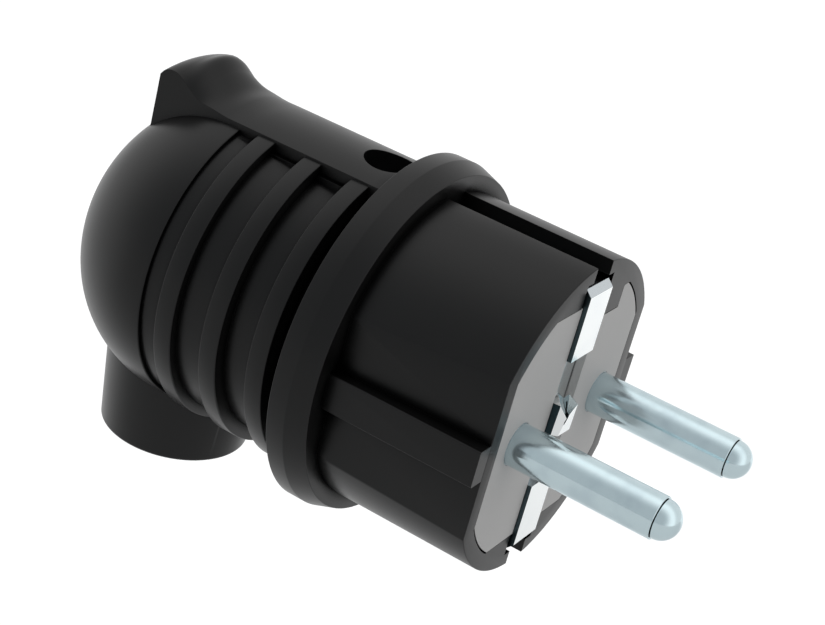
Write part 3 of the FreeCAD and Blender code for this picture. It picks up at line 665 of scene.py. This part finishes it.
@dataclass
class Hood:
    """The black hood: grip cone with three ribs, dome, spine, thumb tab and cable collar. The
    rows of tab are its place along Y, the height of its edges and the height of its middle."""

    front: float = 26.0
    floor_front: float = 16.42
    floor_rear: float = 17.6
    rib_radius: float = 18.45
    rib_width: float = 2.32
    rib_pitch: float = 6.255
    rib_count: int = 3
    rib_root: float = 15.6
    edge: float = 0.15
    dome_front: float = 43.3
    dome_radius: float = 18.1
    dome_centre: float = 44.6
    dome_length: float = 16.64
    dome_rear: float = 19.35
    bore: float = 14.3
    bore_end: float = 34.5
    inner_radius: float = 15.0
    inner_centre: float = 44.0
    spine_half: float = 5.8
    spine_front: float = 23.9
    spine_edge: float = 17.76
    spine_crown: float = 18.86
    spine_round: float = 0.3
    spine_slope: float = 0.45
    tab_steps: int = 110
    tab_root: float = 0.8
    ledge_half: float = 6.35
    ledge_foot: float = 14.8
    ledge_top: float = 16.35
    neck_radius: float = 16.1
    well_place: float = 27.3
    well_radius: float = 3.0
    collar_place: float = 47.3
    collar_bottom: float = -24.7
    collar_radius: float = 9.0
    collar_growth: float = 0.086
    collar_top: float = -11.0
    collar_bore: float = 6.9
    collar_mouth: float = 5.6
    collar_lip: float = 1.5
    post_x: float = 7.4
    post_z: float = -8.0
    post_radius: float = 2.6
    post_front: float = 44.0
    post_end: float = 55.4
    tab: tuple[Corner, ...] = (
        (41.71, 17.76, 18.86), (43.51, 17.76, 18.86), (45.31, 17.76, 18.99), (47.41, 17.99, 19.28),
        (49.41, 18.19, 20.68), (51.01, 19.05, 21.83), (52.71, 20.05, 21.32), (53.81, 20.15, 20.94),
        (54.6, 19.85, 20.54), (55.14, 19.2, 20.1))

    def dome_profile(self) -> list[Point]:
        """Returns the dome's side and rear arcs as (place, radius) points."""
        rear, radius = self.dome_rear, self.dome_radius
        offset = rear - self.dome_length
        side = (rear ** 2 - offset ** 2 - radius ** 2) / (2.0 * (rear - radius))
        drop = radius - side
        meeting = math.degrees(math.atan2(drop, offset))
        side_centre = (self.dome_centre, drop)
        rear_centre = (self.dome_centre - offset, 0.0)
        points = arc(side_centre, side, 90.0, meeting, 56)
        return points + arc(rear_centre, rear, meeting, 0.0, 40)[1:-1] + [
            (self.dome_centre + self.dome_length, 0.0)]

    def grip(self) -> Solid:
        """Returns the cone between the ribs with the dome behind it."""
        corners = [(self.front, self.floor_front), (self.dome_front, self.floor_rear)]
        edge = arc((self.dome_front + self.edge, self.dome_radius - self.edge), self.edge, 180.0, 90.0, 5)
        profile = [(self.front, 0.0)] + corners + edge + self.dome_profile()
        return lathe("hood", profile, Axis.Y)

    def ribs(self, material: bpy.types.Material) -> Solid:
        """Make the ribs by Geometry Nodes.

        Args:
            material: The ribs' material.

        Returns:
            The three ribs as one solid.
        """
        depth = self.rib_radius - self.rib_root
        return ring_row("ribs", material, {
            "Radius": self.rib_root + depth / 2.0,
            "Width": self.rib_width,
            "Depth": depth,
            "Edge": self.edge,
            "Front": self.front + self.rib_width / 2.0,
            "Pitch": self.rib_pitch,
            "Count": self.rib_count,
        })

    def crown(self, place: float, low: float, edge: float, crown: float) -> list[Corner]:
        """A section across the spine or the tab.

        Args:
            place: Its place along Y.
            low: The height of its foot.
            edge: The height at which its sides end.
            crown: The height of its middle.

        Returns:
            The section's points in space.
        """
        half = self.spine_half
        rise = max(crown - edge, 0.02)
        radius = (half ** 2 + rise ** 2) / (2.0 * rise)
        lean = math.degrees(math.asin(half / radius))
        top = arc((0.0, crown - radius), radius, 90.0 - lean, 90.0 + lean, 24)
        return [(x, place, z) for x, z in [(half, low)] + top + [(-half, low)]]

    def tab_heights(self, place: float) -> Point:
        """The edge and crown heights at a place, smooth between the measured sections.

        Args:
            place: The place along Y.

        Returns:
            The two heights.
        """
        rows = self.tab
        index = max(i for i in range(len(rows) - 1) if rows[i][0] <= place or i == 0)
        first, second = rows[index], rows[index + 1]
        before = rows[max(index - 1, 0)]
        after = rows[min(index + 2, len(rows) - 1)]
        width = second[0] - first[0]
        share = min(max((place - first[0]) / width, 0.0), 1.0)
        heights = []
        for column in (1, 2):
            start_slope = (second[column] - before[column]) / (second[0] - before[0]) * width
            end_slope = (after[column] - first[column]) / (after[0] - first[0]) * width
            square, cube = share ** 2, share ** 3
            heights.append((2 * cube - 3 * square + 1) * first[column]
                           + (cube - 2 * square + share) * start_slope
                           + (3 * square - 2 * cube) * second[column]
                           + (cube - square) * end_slope)
        return heights[0], heights[1]

    def spine_and_tab(self) -> Solid:
        """Returns the bar along the top together with the thumb tab at its end."""
        rings = []
        for share in (0.0, 0.4, 1.0):
            place = self.spine_front + share * self.spine_round
            sink = (1.0 - share) * self.spine_round * self.spine_slope
            rings.append(self.crown(place, self.neck_radius, self.spine_edge - sink,
                                    self.spine_crown - sink))
        rings.append(self.crown(self.front, self.neck_radius, self.spine_edge, self.spine_crown))
        low = self.inner_radius + 0.3
        rings.append(self.crown(self.front + 0.02, low, self.spine_edge, self.spine_crown))
        first, last = self.tab[0][0], self.tab[-1][0]
        for step in range(self.tab_steps + 1):
            place = first + (last - first) * step / self.tab_steps
            edge, crown = self.tab_heights(place)
            root = math.sqrt((self.inner_radius + self.tab_root) ** 2
                             - (place - self.inner_centre) ** 2)
            rings.append(self.crown(place, min(root, low), edge, crown))
        return loft("spine", rings)

    def collar(self) -> Solid:
        """Returns the cable collar under the dome."""
        high = self.collar_radius + self.collar_growth * (self.collar_top - self.collar_bottom)
        corners = [(self.collar_bottom, 0.0, 0.0), (self.collar_bottom, self.collar_radius, 0.5),
                   (self.collar_top, high, 0.0), (self.collar_top, 0.0, 0.0)]
        return lathe("collar", fillet(corners, 8), Axis.Z, self.collar_place)

    def hollow(self) -> Solid:
        """Returns the space inside the hood."""
        start = self.front - 0.5
        profile = [(start, 0.0), (start, self.bore), (self.bore_end, self.bore),
                   (self.bore_end, self.inner_radius)]
        profile += arc((self.inner_centre, 0.0), self.inner_radius, 90.0, 0.0, 40)[:-1]
        profile.append((self.inner_centre + self.inner_radius, 0.0))
        return lathe("hollow", profile, Axis.Y)

    def build(self, material: bpy.types.Material) -> bpy.types.Object:
        """Build and dress the hood.

        Args:
            material: Its material.

        Returns:
            The piece.
        """
        body = self.grip()
        body.add(block("ledge", (-self.ledge_half, self.front, self.ledge_foot),
                       (self.ledge_half, self.dome_front + 0.5, self.ledge_top)))
        body.add(self.ribs(material), self.spine_and_tab(), self.collar())
        body.cut(self.hollow())
        top, mouth = self.collar_top + 1.0, self.collar_bottom - 1.0
        centre = self.collar_place
        body.cut(
            rod("bore", self.collar_bore, (0.0, centre, self.collar_bottom + self.collar_lip),
                (0.0, centre, top), Axis.Z),
            rod("mouth", self.collar_mouth, (0.0, centre, mouth), (0.0, centre, top), Axis.Z),
            rod("well", self.well_radius, (0.0, self.well_place, self.bore - 2.0),
                (0.0, self.well_place, self.spine_crown + 1.0), Axis.Z))
        for side in (-1.0, 1.0):
            x = side * self.post_x
            body.add(rod("post", self.post_radius, (x, self.post_front, self.post_z),
                         (x, self.post_end, self.post_z), Axis.Y))
        return body.finish(material, "black_plastic", "hood")


def ring_row(name: str, material: bpy.types.Material, sizes: dict) -> Solid:
    """A row of rounded rings about Y, made by Geometry Nodes.

    Args:
        name: The solid's name.
        material: The rings' material.
        sizes: The tree's inputs by name, in millimetres.

    Returns:
        The rings as one solid.
    """
    tree = bpy.data.node_groups.new(name + "_tree", "GeometryNodeTree")
    face = tree.interface
    face.new_socket("Geometry", in_out="OUTPUT", socket_type="NodeSocketGeometry")
    for key in sizes:
        kind = "NodeSocketInt" if key == "Count" else "NodeSocketFloat"
        face.new_socket(key, in_out="INPUT", socket_type=kind)
    face.new_socket("Material", in_out="INPUT", socket_type="NodeSocketMaterial")
    graph = Graph(tree)
    entry = tree.nodes.new("NodeGroupInput")
    size = {key: Signal(graph, entry.outputs[key]) for key in list(sizes) + ["Material"]}
    path = graph.node("GeometryNodeCurvePrimitiveCircle", {"mode": "RADIUS"},
                      {"Resolution": ROUND, "Radius": size["Radius"]})
    section = graph.node("GeometryNodeCurvePrimitiveQuadrilateral", {"mode": "RECTANGLE"},
                         {"Width": size["Depth"], "Height": size["Width"]})
    rounded = graph.node("GeometryNodeFilletCurve", {"mode": "POLY"},
                         {"Curve": section, "Count": 4, "Radius": size["Edge"]})
    ring = graph.node("GeometryNodeCurveToMesh", {}, {"Curve": path, "Profile Curve": rounded})
    turned = graph.node("GeometryNodeTransform", {},
                        {"Geometry": ring, "Rotation": (math.pi / 2.0, 0.0, 0.0)})
    start = graph.node("ShaderNodeCombineXYZ", {}, {"Y": size["Front"]})
    pitch = graph.node("ShaderNodeCombineXYZ", {}, {"Y": size["Pitch"]})
    places = graph.node("GeometryNodeMeshLine", {"mode": "OFFSET"},
                        {"Count": size["Count"], "Start Location": start, "Offset": pitch})
    copies = graph.node("GeometryNodeInstanceOnPoints", {}, {"Points": places, "Instance": turned})
    real = graph.node("GeometryNodeRealizeInstances", {}, {"Geometry": copies})
    dressed = graph.node("GeometryNodeSetMaterial", {},
                         {"Geometry": real, "Material": size["Material"]})
    leave = tree.nodes.new("NodeGroupOutput")
    tree.links.new(dressed.socket, leave.inputs[0])
    solid = Solid(name, [(0, 0, 0)], [])
    modifier = solid.item.modifiers.new(name, "NODES")
    modifier.node_group = tree
    for item in face.items_tree:
        if item.in_out == "INPUT":
            modifier[item.identifier] = material if item.name == "Material" else sizes[item.name]
    solid.bake()
    solid.clean()
    return solid


@dataclass
class FrontShell:
    """The black front shell: plug face rim, guide ribs, earthing slots, flange and spigot."""

    radius: float = 18.5
    length: float = 18.6
    flat_front: float = 16.05
    flat_rear: float = 16.5
    rim_edge: float = 0.1
    guide_half: float = 2.1
    guide_reach: float = 18.15
    plate_half: float = 14.0
    plate_radius: float = 16.4
    plate_gap: float = 0.04
    corner_gap: float = 0.22
    seat_end: float = 13.5
    slot_half: float = 1.85
    pocket_half: float = 3.1
    pocket_reach: float = 16.7
    lug_left: float = 3.2
    lug_right: float = 7.4
    lug_bottom: float = 11.4
    flange_front_radius: float = 20.3
    flange_radius: float = 21.1
    chamfer_end: float = 21.0
    flange_rear: float = 23.25
    neck_radius: float = 16.0
    neck_end: float = 26.0
    spigot_radius: float = 14.1
    spigot_end: float = 33.0
    spigot_bore: float = 12.0
    cavity_radius: float = 13.6
    cavity_start: float = 16.0
    cavity_end: float = 24.4
    window_half: float = 13.5
    window_top: float = 5.0
    guide_edge: float = 0.15
    screw_place: float = 27.5
    screw_radius: float = 2.55
    screw_low: float = 13.2
    screw_high: float = 17.0

    def nose_ring(self, place: float, inset: float) -> list[Corner]:
        """One section of the nose.

        Args:
            place: Its place along Y.
            inset: How far it lies inside the full section.

        Returns:
            The section's points in space.
        """
        radius = self.radius - inset
        flat = self.flat_front + (self.flat_rear - self.flat_front) * place / self.length - inset
        corner = math.degrees(math.acos(flat / radius))
        section = arc((0.0, 0.0), radius, corner, 180.0 - corner, 120)
        section += arc((0.0, 0.0), radius, 180.0 + corner, 360.0 - corner, 120)
        return [(x, place, z) for x, z in section]

    def nose(self) -> Solid:
        """Returns the round nose with its two flats and its softened rim."""
        edge = self.rim_edge
        rings = []
        for step in range(5):
            angle = math.radians(90.0 * step / 4.0)
            rings.append(self.nose_ring(edge * (1.0 - math.sin(angle)), edge * (1.0 - math.cos(angle))))
        rings.reverse()
        rings.append(self.nose_ring(self.length + 0.5, 0.0))
        return loft("front_shell", rings)

    def guides(self) -> Solid:
        """Returns the guide rib that stands on each flat, as one bar through the nose."""
        reach, half = self.guide_reach, self.guide_half
        edge = self.guide_edge
        section = fillet([(-reach, -half, edge), (reach, -half, edge),
                          (reach, half, edge), (-reach, half, edge)], 4)
        return prism("guides", section, 0.02, self.length + 0.5)

    def flange(self) -> Solid:
        """Returns the flange, the neck and the spigot."""
        corners = [
            (self.length, 0.0, 0.0),
            (self.length, self.flange_front_radius, 0.1),
            (self.chamfer_end, self.flange_radius, 0.5),
            (self.flange_rear, self.flange_radius, 0.08),
            (self.flange_rear, self.neck_radius, 0.0),
            (self.neck_end, self.neck_radius, 0.0),
            (self.neck_end, self.spigot_radius, 0.0),
            (self.spigot_end, self.spigot_radius, 0.3),
            (self.spigot_end, 0.0, 0.0),
        ]
        return lathe("flange", fillet(corners), Axis.Y)

    def seat(self) -> Solid:
        """Returns the room for the grey plate, without the lug that stands beside the strip."""
        radius = self.plate_radius
        section = plate_section(self.plate_half + self.plate_gap, (
            radius + self.corner_gap, radius + self.plate_gap,
            radius + self.corner_gap, radius + self.plate_gap))
        lug = block("lug", (self.lug_left, -2.0, self.lug_bottom),
                    (self.lug_right, self.seat_end + 0.5, self.plate_half + 1.0))
        return prism("seat", section, -1.0, self.seat_end).cut(lug)

    def build(self, material: bpy.types.Material) -> bpy.types.Object:
        """Build and dress the front shell.

        Args:
            material: Its material.

        Returns:
            The piece.
        """
        body = self.nose()
        body.add(self.guides(), self.flange())
        body.cut(self.seat())
        reach = self.radius + 1.0
        for side in (-1.0, 1.0):
            low, high = sorted((side * (self.plate_half - 0.5), side * self.pocket_reach))
            body.cut(block("pocket", (-self.pocket_half, -1.0, low),
                           (self.pocket_half, self.length, high)))
            low, high = sorted((side * (self.pocket_reach - 0.2), side * reach))
            body.cut(block("slot", (-self.slot_half, -1.0, low), (self.slot_half, self.length, high)))
        profile = [(self.cavity_start, 0.0), (self.cavity_start, self.cavity_radius),
                   (self.cavity_end, self.cavity_radius), (self.cavity_end, self.spigot_bore),
                   (self.spigot_end + 0.5, self.spigot_bore), (self.spigot_end + 0.5, 0.0)]
        body.cut(lathe("cavity", profile, Axis.Y))
        body.cut(block("window", (-self.window_half, self.seat_end - 0.5, -self.window_top),
                       (self.window_half, self.cavity_start + 0.3, self.window_top)))
        body.cut(rod("seat_for_screw", self.screw_radius, (0.0, self.screw_place, self.screw_low),
                     (0.0, self.screw_place, self.screw_high), Axis.Z))
        return body.finish(material, "black_plastic", "front_shell")


def plate_section(half: float, radii: tuple[float, float, float, float]) -> list[Point]:
    """A square with its corners on circles.

    Args:
        half: Half the square's side.
        radii: The circle's radius at each corner, from +X +Z on towards -X.

    Returns:
        The section's points.
    """
    points: list[Point] = []
    for quarter, radius in enumerate(radii):
        base = 90.0 * quarter
        lean = math.degrees(math.acos(half / radius))
        points += arc((0.0, 0.0), radius, base + lean, base + 90.0 - lean, 12)
    return points


@dataclass
class Pin:
    """A round contact pin with a stepped, domed tip, a ring that fills the gap round its foot,
    a collar and a terminal block."""

    name: str
    x: float
    radius: float = 2.4
    reach: float = 19.2
    tip_step: float = 0.2
    ring_width: float = 0.12
    ring_depth: float = 0.3
    relief: float = 0.25
    root: float = 0.15
    foot_radius: float = 2.445
    collar_radius: float = 3.4
    collar_front: float = 9.0
    collar_rear: float = 11.0
    block_half_width: float = 2.5
    block_half_height: float = 2.7
    block_end: float = 22.4
    step_edge: float = 0.05
    foot_front: float = 0.01
    thread_radius: float = 1.55
    thread_front: float = 17.2
    thread_end: float = 23.0

    def build(self, material: bpy.types.Material) -> bpy.types.Object:
        """Build and dress the pin.

        Args:
            material: Its material.

        Returns:
            The piece.
        """
        tip = self.radius - self.tip_step
        start = tip - self.reach
        profile = [(start - tip * math.cos(math.radians(angle)), tip * math.sin(math.radians(angle)))
                   for angle in (90.0 * step / 28.0 for step in range(29))]
        profile[0] = (-self.reach, 0.0)
        inner = self.radius - self.relief
        ring = tip - self.ring_depth
        body_front = start + self.ring_width
        profile += [(start, ring), (body_front, ring), (body_front, self.radius - self.step_edge),
                    (body_front + self.step_edge, self.radius), (self.foot_front, self.radius),
                    (self.foot_front, self.foot_radius), (self.root, self.foot_radius),
                    (self.root, inner), (self.collar_front, inner),
                    (self.collar_front, self.collar_radius),
                    (self.collar_rear, self.collar_radius), (self.collar_rear, 0.0)]
        body = lathe(self.name + "_turned", profile, Axis.Y, across=(self.x, 0.0), segments=128)
        body.add(block("terminal", (self.x - self.block_half_width, self.collar_rear - 0.2,
                                    -self.block_half_height),
                       (self.x + self.block_half_width, self.block_end, self.block_half_height)))
        body.cut(rod("thread", self.thread_radius, (self.x, self.thread_front, 0.0),
                     (self.x, self.thread_end, 0.0), Axis.Y))
        return body.finish(material, "plated_brass", self.name)


@dataclass
class EarthBow:
    """The folded earth strip that runs across the contact face into both slots."""

    half_width: float = 2.6
    thickness: float = 0.8
    proud: float = 0.5
    side: float = 16.1
    bend: float = 0.75
    step: float = 7.7
    recess: float = 1.0
    end: float = 17.4

    def build(self, material: bpy.types.Material) -> bpy.types.Object:
        """Build and dress the strip.

        Args:
            material: Its material.

        Returns:
            The piece.
        """
        front, thick = -self.proud, self.thickness
        mitre = thick * math.tan(math.radians(22.5))
        outer = [(self.end, self.side - thick), (self.end, self.side), (front + self.bend, self.side),
                 (front, self.side - self.bend), (front, self.step), (self.recess, self.step)]
        inner = [(self.recess + thick, self.step + thick), (front + thick, self.step + thick),
                 (front + thick, self.side - self.bend - mitre),
                 (front + self.bend + mitre, self.side - thick)]
        section = outer + [(y, -z) for y, z in reversed(outer)]
        section += [(y, -z) for y, z in reversed(inner)] + inner
        strip = prism("earth_bow_strip", section, -self.half_width, self.half_width,
                      Axis.X)
        return strip.finish(material, "plated_strip", "earth_bow")


@dataclass
class EarthClip:
    """The head of the earth contact: a lug whose grooved top rises to the back in two teeth."""

    left: float = -2.6
    right: float = 1.3
    bottom: float = -1.0
    front: float = -1.45
    back: float = 1.0
    slit: float = 0.2

    def build(self, material: bpy.types.Material) -> bpy.types.Object:
        """Build and dress the lug.

        Args:
            material: Its material.

        Returns:
            The piece.
        """
        left, right, bottom, front, back = self.left, self.right, self.bottom, self.front, self.back
        corners = {
            "foot_back_left": (left, back, bottom),
            "foot_left": (left, -0.75, bottom),
            "foot_front_left": (-2.1, front + 0.07, bottom),
            "foot_front_right": (0.5, front, bottom),
            "foot_back_right": (right, back, bottom),
            "side_top": (left, -0.86, 2.64),
            "groove_front": (-1.34, front, 1.0),
            "tooth_front": (0.7, front, 2.09),
            "right_tooth": (right, 0.0, 2.42),
            "groove_rear": (-0.1, 0.0, 2.41),
            "left_tooth": (-1.6, 0.3, 3.47),
            "side_back": (left, 0.39, 2.55),
            "drop_left": (left, back, 2.2),
            "drop_tooth": (-1.6, 0.7, 2.0),
            "drop_groove": (-0.1, 0.6, 1.0),
            "drop_right": (right, 0.6, 1.2),
            "back_right": (right, back, 1.0),
        }
        names = list(corners)
        faces = [
            ("foot_back_left", "foot_left", "side_top", "side_back", "drop_left"),
            ("foot_left", "foot_front_left", "side_top"),
            ("foot_front_left", "groove_front", "side_top"),
            ("foot_front_left", "foot_front_right", "tooth_front", "groove_front"),
            ("side_top", "groove_front", "groove_rear"),
            ("groove_front", "tooth_front", "right_tooth"),
            ("groove_front", "right_tooth", "groove_rear"),
            ("side_top", "groove_rear", "left_tooth"),
            ("side_top", "left_tooth", "side_back"),
            ("side_back", "left_tooth", "drop_tooth", "drop_left"),
            ("left_tooth", "groove_rear", "drop_groove", "drop_tooth"),
            ("groove_rear", "right_tooth", "drop_right", "drop_groove"),
            ("drop_right", "back_right", "drop_groove"),
            ("drop_groove", "back_right", "drop_left", "drop_tooth"),
            ("foot_front_right", "foot_back_right", "back_right", "drop_right", "right_tooth"),
            ("foot_front_right", "right_tooth", "tooth_front"),
            ("foot_back_left", "drop_left", "back_right", "foot_back_right"),
            ("foot_back_left", "foot_back_right", "foot_front_right", "foot_front_left", "foot_left"),
        ]
        body = Solid("earth_clip_lug", list(corners.values()),
                     [tuple(names.index(name) for name in face) for face in faces])
        path = [(-1.6, front - 0.2, 0.5), (-1.12, front - 0.1, 0.95), (-0.72, -0.95, 1.45),
                (-0.1, -0.7, 1.95), (0.1, -0.55, 2.25)]
        rings = []
        for x, y, z in path:
            rings.append([(x - self.slit, y, z + 0.3), (x + self.slit, y, z + 0.3),
                          (x + self.slit, y + 0.25, z - 0.3), (x - self.slit, y + 0.25, z - 0.3)])
        body.cut(loft("slit", rings))
        return body.finish(material, "plated_strip", "earth_clip", sharp=6.0)


# Light, floor and camera


@dataclass
class Studio:
    """A plain white studio: soft light from all round, a pale floor far below and the camera."""

    floor_height: float = -0.16
    floor_half: float = 3.0
    floor_colours: Point = (0.74, 0.76)
    floor_roughness: float = 0.9
    floor_glow: float = 0.42
    lens: float = 81.629
    sensor: float = 36.0
    nearest: float = 0.01
    place: Corner = (-0.16988783, -0.060969742, 0.089976265)
    right: Corner = (0.513871, -0.824160, 0.238111)
    up: Corner = (0.251309, 0.410006, 0.876778)
    forward: Corner = (0.820232, 0.390711, -0.417808)
    near_side: Corner = (-0.94, 0.0, 0.34)
    near_level: float = 0.52
    near_tint: float = 0.03
    near_band: Point = (0.2, 0.9)
    far_level: float = 0.8
    far_band: Point = (-0.35, 0.1)
    top_level: float = 1.1
    gloss_share: float = 0.85
    gloss_side: Corner = (0.7, 0.7, 0.0)
    gloss_band: Point = (0.0, 0.2)

    def seen(self, graph: Graph) -> Signal:
        """How much of the background's white a ray shows: all of it straight or through a
        clear piece, and in a gloss a share of it on the far floor and none on the near one."""
        straight, gloss, through = [
            graph.node("ShaderNodeLightPath", {}, {}, "Is " + kind + " Ray")
            for kind in ("Camera", "Glossy", "Transmission")]
        away = graph.node("ShaderNodeVectorMath", {"operation": "DOT_PRODUCT"},
                          {0: graph.place(), 1: self.gloss_side}, "Value")
        gloss = gloss * away.step(*self.gloss_band) * self.gloss_share
        return graph.math("MAXIMUM", straight, graph.math("MAXIMUM", gloss, through))

    def floor(self) -> None:
        """Lay the floor: its plain part takes the light and the object's shadow, and its glow
        lifts it to white for the camera."""
        half, height = self.floor_half, self.floor_height
        corners = [(-half, -half, height), (half, -half, height), (half, half, height),
                   (-half, half, height)]
        mesh = bpy.data.meshes.new("studio_floor")
        mesh.from_pydata(corners, [], [(0, 1, 2, 3)])
        item = bpy.data.objects.new("studio_floor", mesh)
        bpy.context.scene.collection.objects.link(item)
        material, graph = new_material("pale_floor")
        cloud = graph.noise(30.0)
        close_material(graph, {
            "Base Color": graph.mix(cloud, *[grey(value) for value in self.floor_colours]),
            "Roughness": self.floor_roughness,
            "Emission Color": graph.mix(self.seen(graph), grey(0.0), grey(1.0)),
            "Emission Strength": self.floor_glow,
        })
        mesh.materials.append(material)

    def world(self) -> None:
        """Light the scene from all round: brightest overhead, a little dimmer from the far
        side and dimmest from the side where the camera stands."""
        world = bpy.data.worlds.new("studio")
        bpy.context.scene.world = world
        world.use_nodes = True
        graph = Graph(world.node_tree)
        way = graph.node("ShaderNodeTexCoord", {}, {}, "Generated")
        facing = graph.node("ShaderNodeVectorMath", {"operation": "DOT_PRODUCT"},
                            {0: way, 1: self.near_side}, "Value")
        straight = graph.node("ShaderNodeLightPath", {}, {}, "Is Camera Ray")
        far = graph.mix(facing.step(*self.far_band), grey(self.far_level), grey(self.top_level))
        near = grey(self.near_level, self.near_tint)
        light = graph.mix(facing.step(*self.near_band), far, near)
        colour = graph.mix(straight, light, grey(1.0))
        shine = graph.node("ShaderNodeBackground", {}, {"Color": colour, "Strength": 1.0})
        output = graph.tree.nodes.new("ShaderNodeOutputWorld")
        graph.tree.links.new(shine.socket, output.inputs["Surface"])

    def camera(self) -> None:
        """Set the camera where the photograph was taken from."""
        data = bpy.data.cameras.new("camera")
        data.lens = self.lens
        data.sensor_width = self.sensor
        data.clip_start = self.nearest
        item = bpy.data.objects.new("camera", data)
        bpy.context.scene.collection.objects.link(item)
        back = [-part for part in self.forward]
        rows = [[self.right[i], self.up[i], back[i], self.place[i]] for i in range(3)]
        item.matrix_world = Matrix(rows + [[0.0, 0.0, 0.0, 1.0]])
        bpy.context.scene.camera = item

    def build(self) -> None:
        """Set up the whole studio."""
        self.floor()
        self.world()
        self.camera()
        bpy.context.scene.view_settings.view_transform = "Standard"


def dress_cad_nodes(finishes: dict) -> None:
    """Give each node of the solid model the material of its slot.

    Args:
        finishes: Materials by the record's slot names.
    """
    for row in frame["record"]["subparts"]:
        item = frame["nodes"][row["node"]]
        material = finishes[row["material_slot"]]
        for place in item.material_slots:
            place.material = material
        log.info("%s wears %s", row["node"], material.name)


def main() -> None:
    """Build every piece in order."""
    finishes = {
        "black_plastic": BLACK_PLASTIC.make(),
        "grey_plastic": GREY_PLASTIC.make(),
        "plated_brass": PIN_PLATE.make(),
        "plated_strip": STRIP_PLATE.make(),
        "brass": BRASS.make(),
        "steel": ZINC_STEEL.make(),
        "rubber": RUBBER.make(),
    }
    dress_cad_nodes(finishes)
    Studio().build()
    Hood().build(finishes["black_plastic"])
    FrontShell().build(finishes["black_plastic"])
    Pin("pin_left", -9.5).build(finishes["plated_brass"])
    Pin("pin_right", 9.5).build(finishes["plated_brass"])
    EarthBow().build(finishes["plated_strip"])
    EarthClip().build(CLIP_PLATE.make())


if __name__ == "__main__":
    logging.basicConfig(level=logging.INFO, format="%(message)s")
    main()
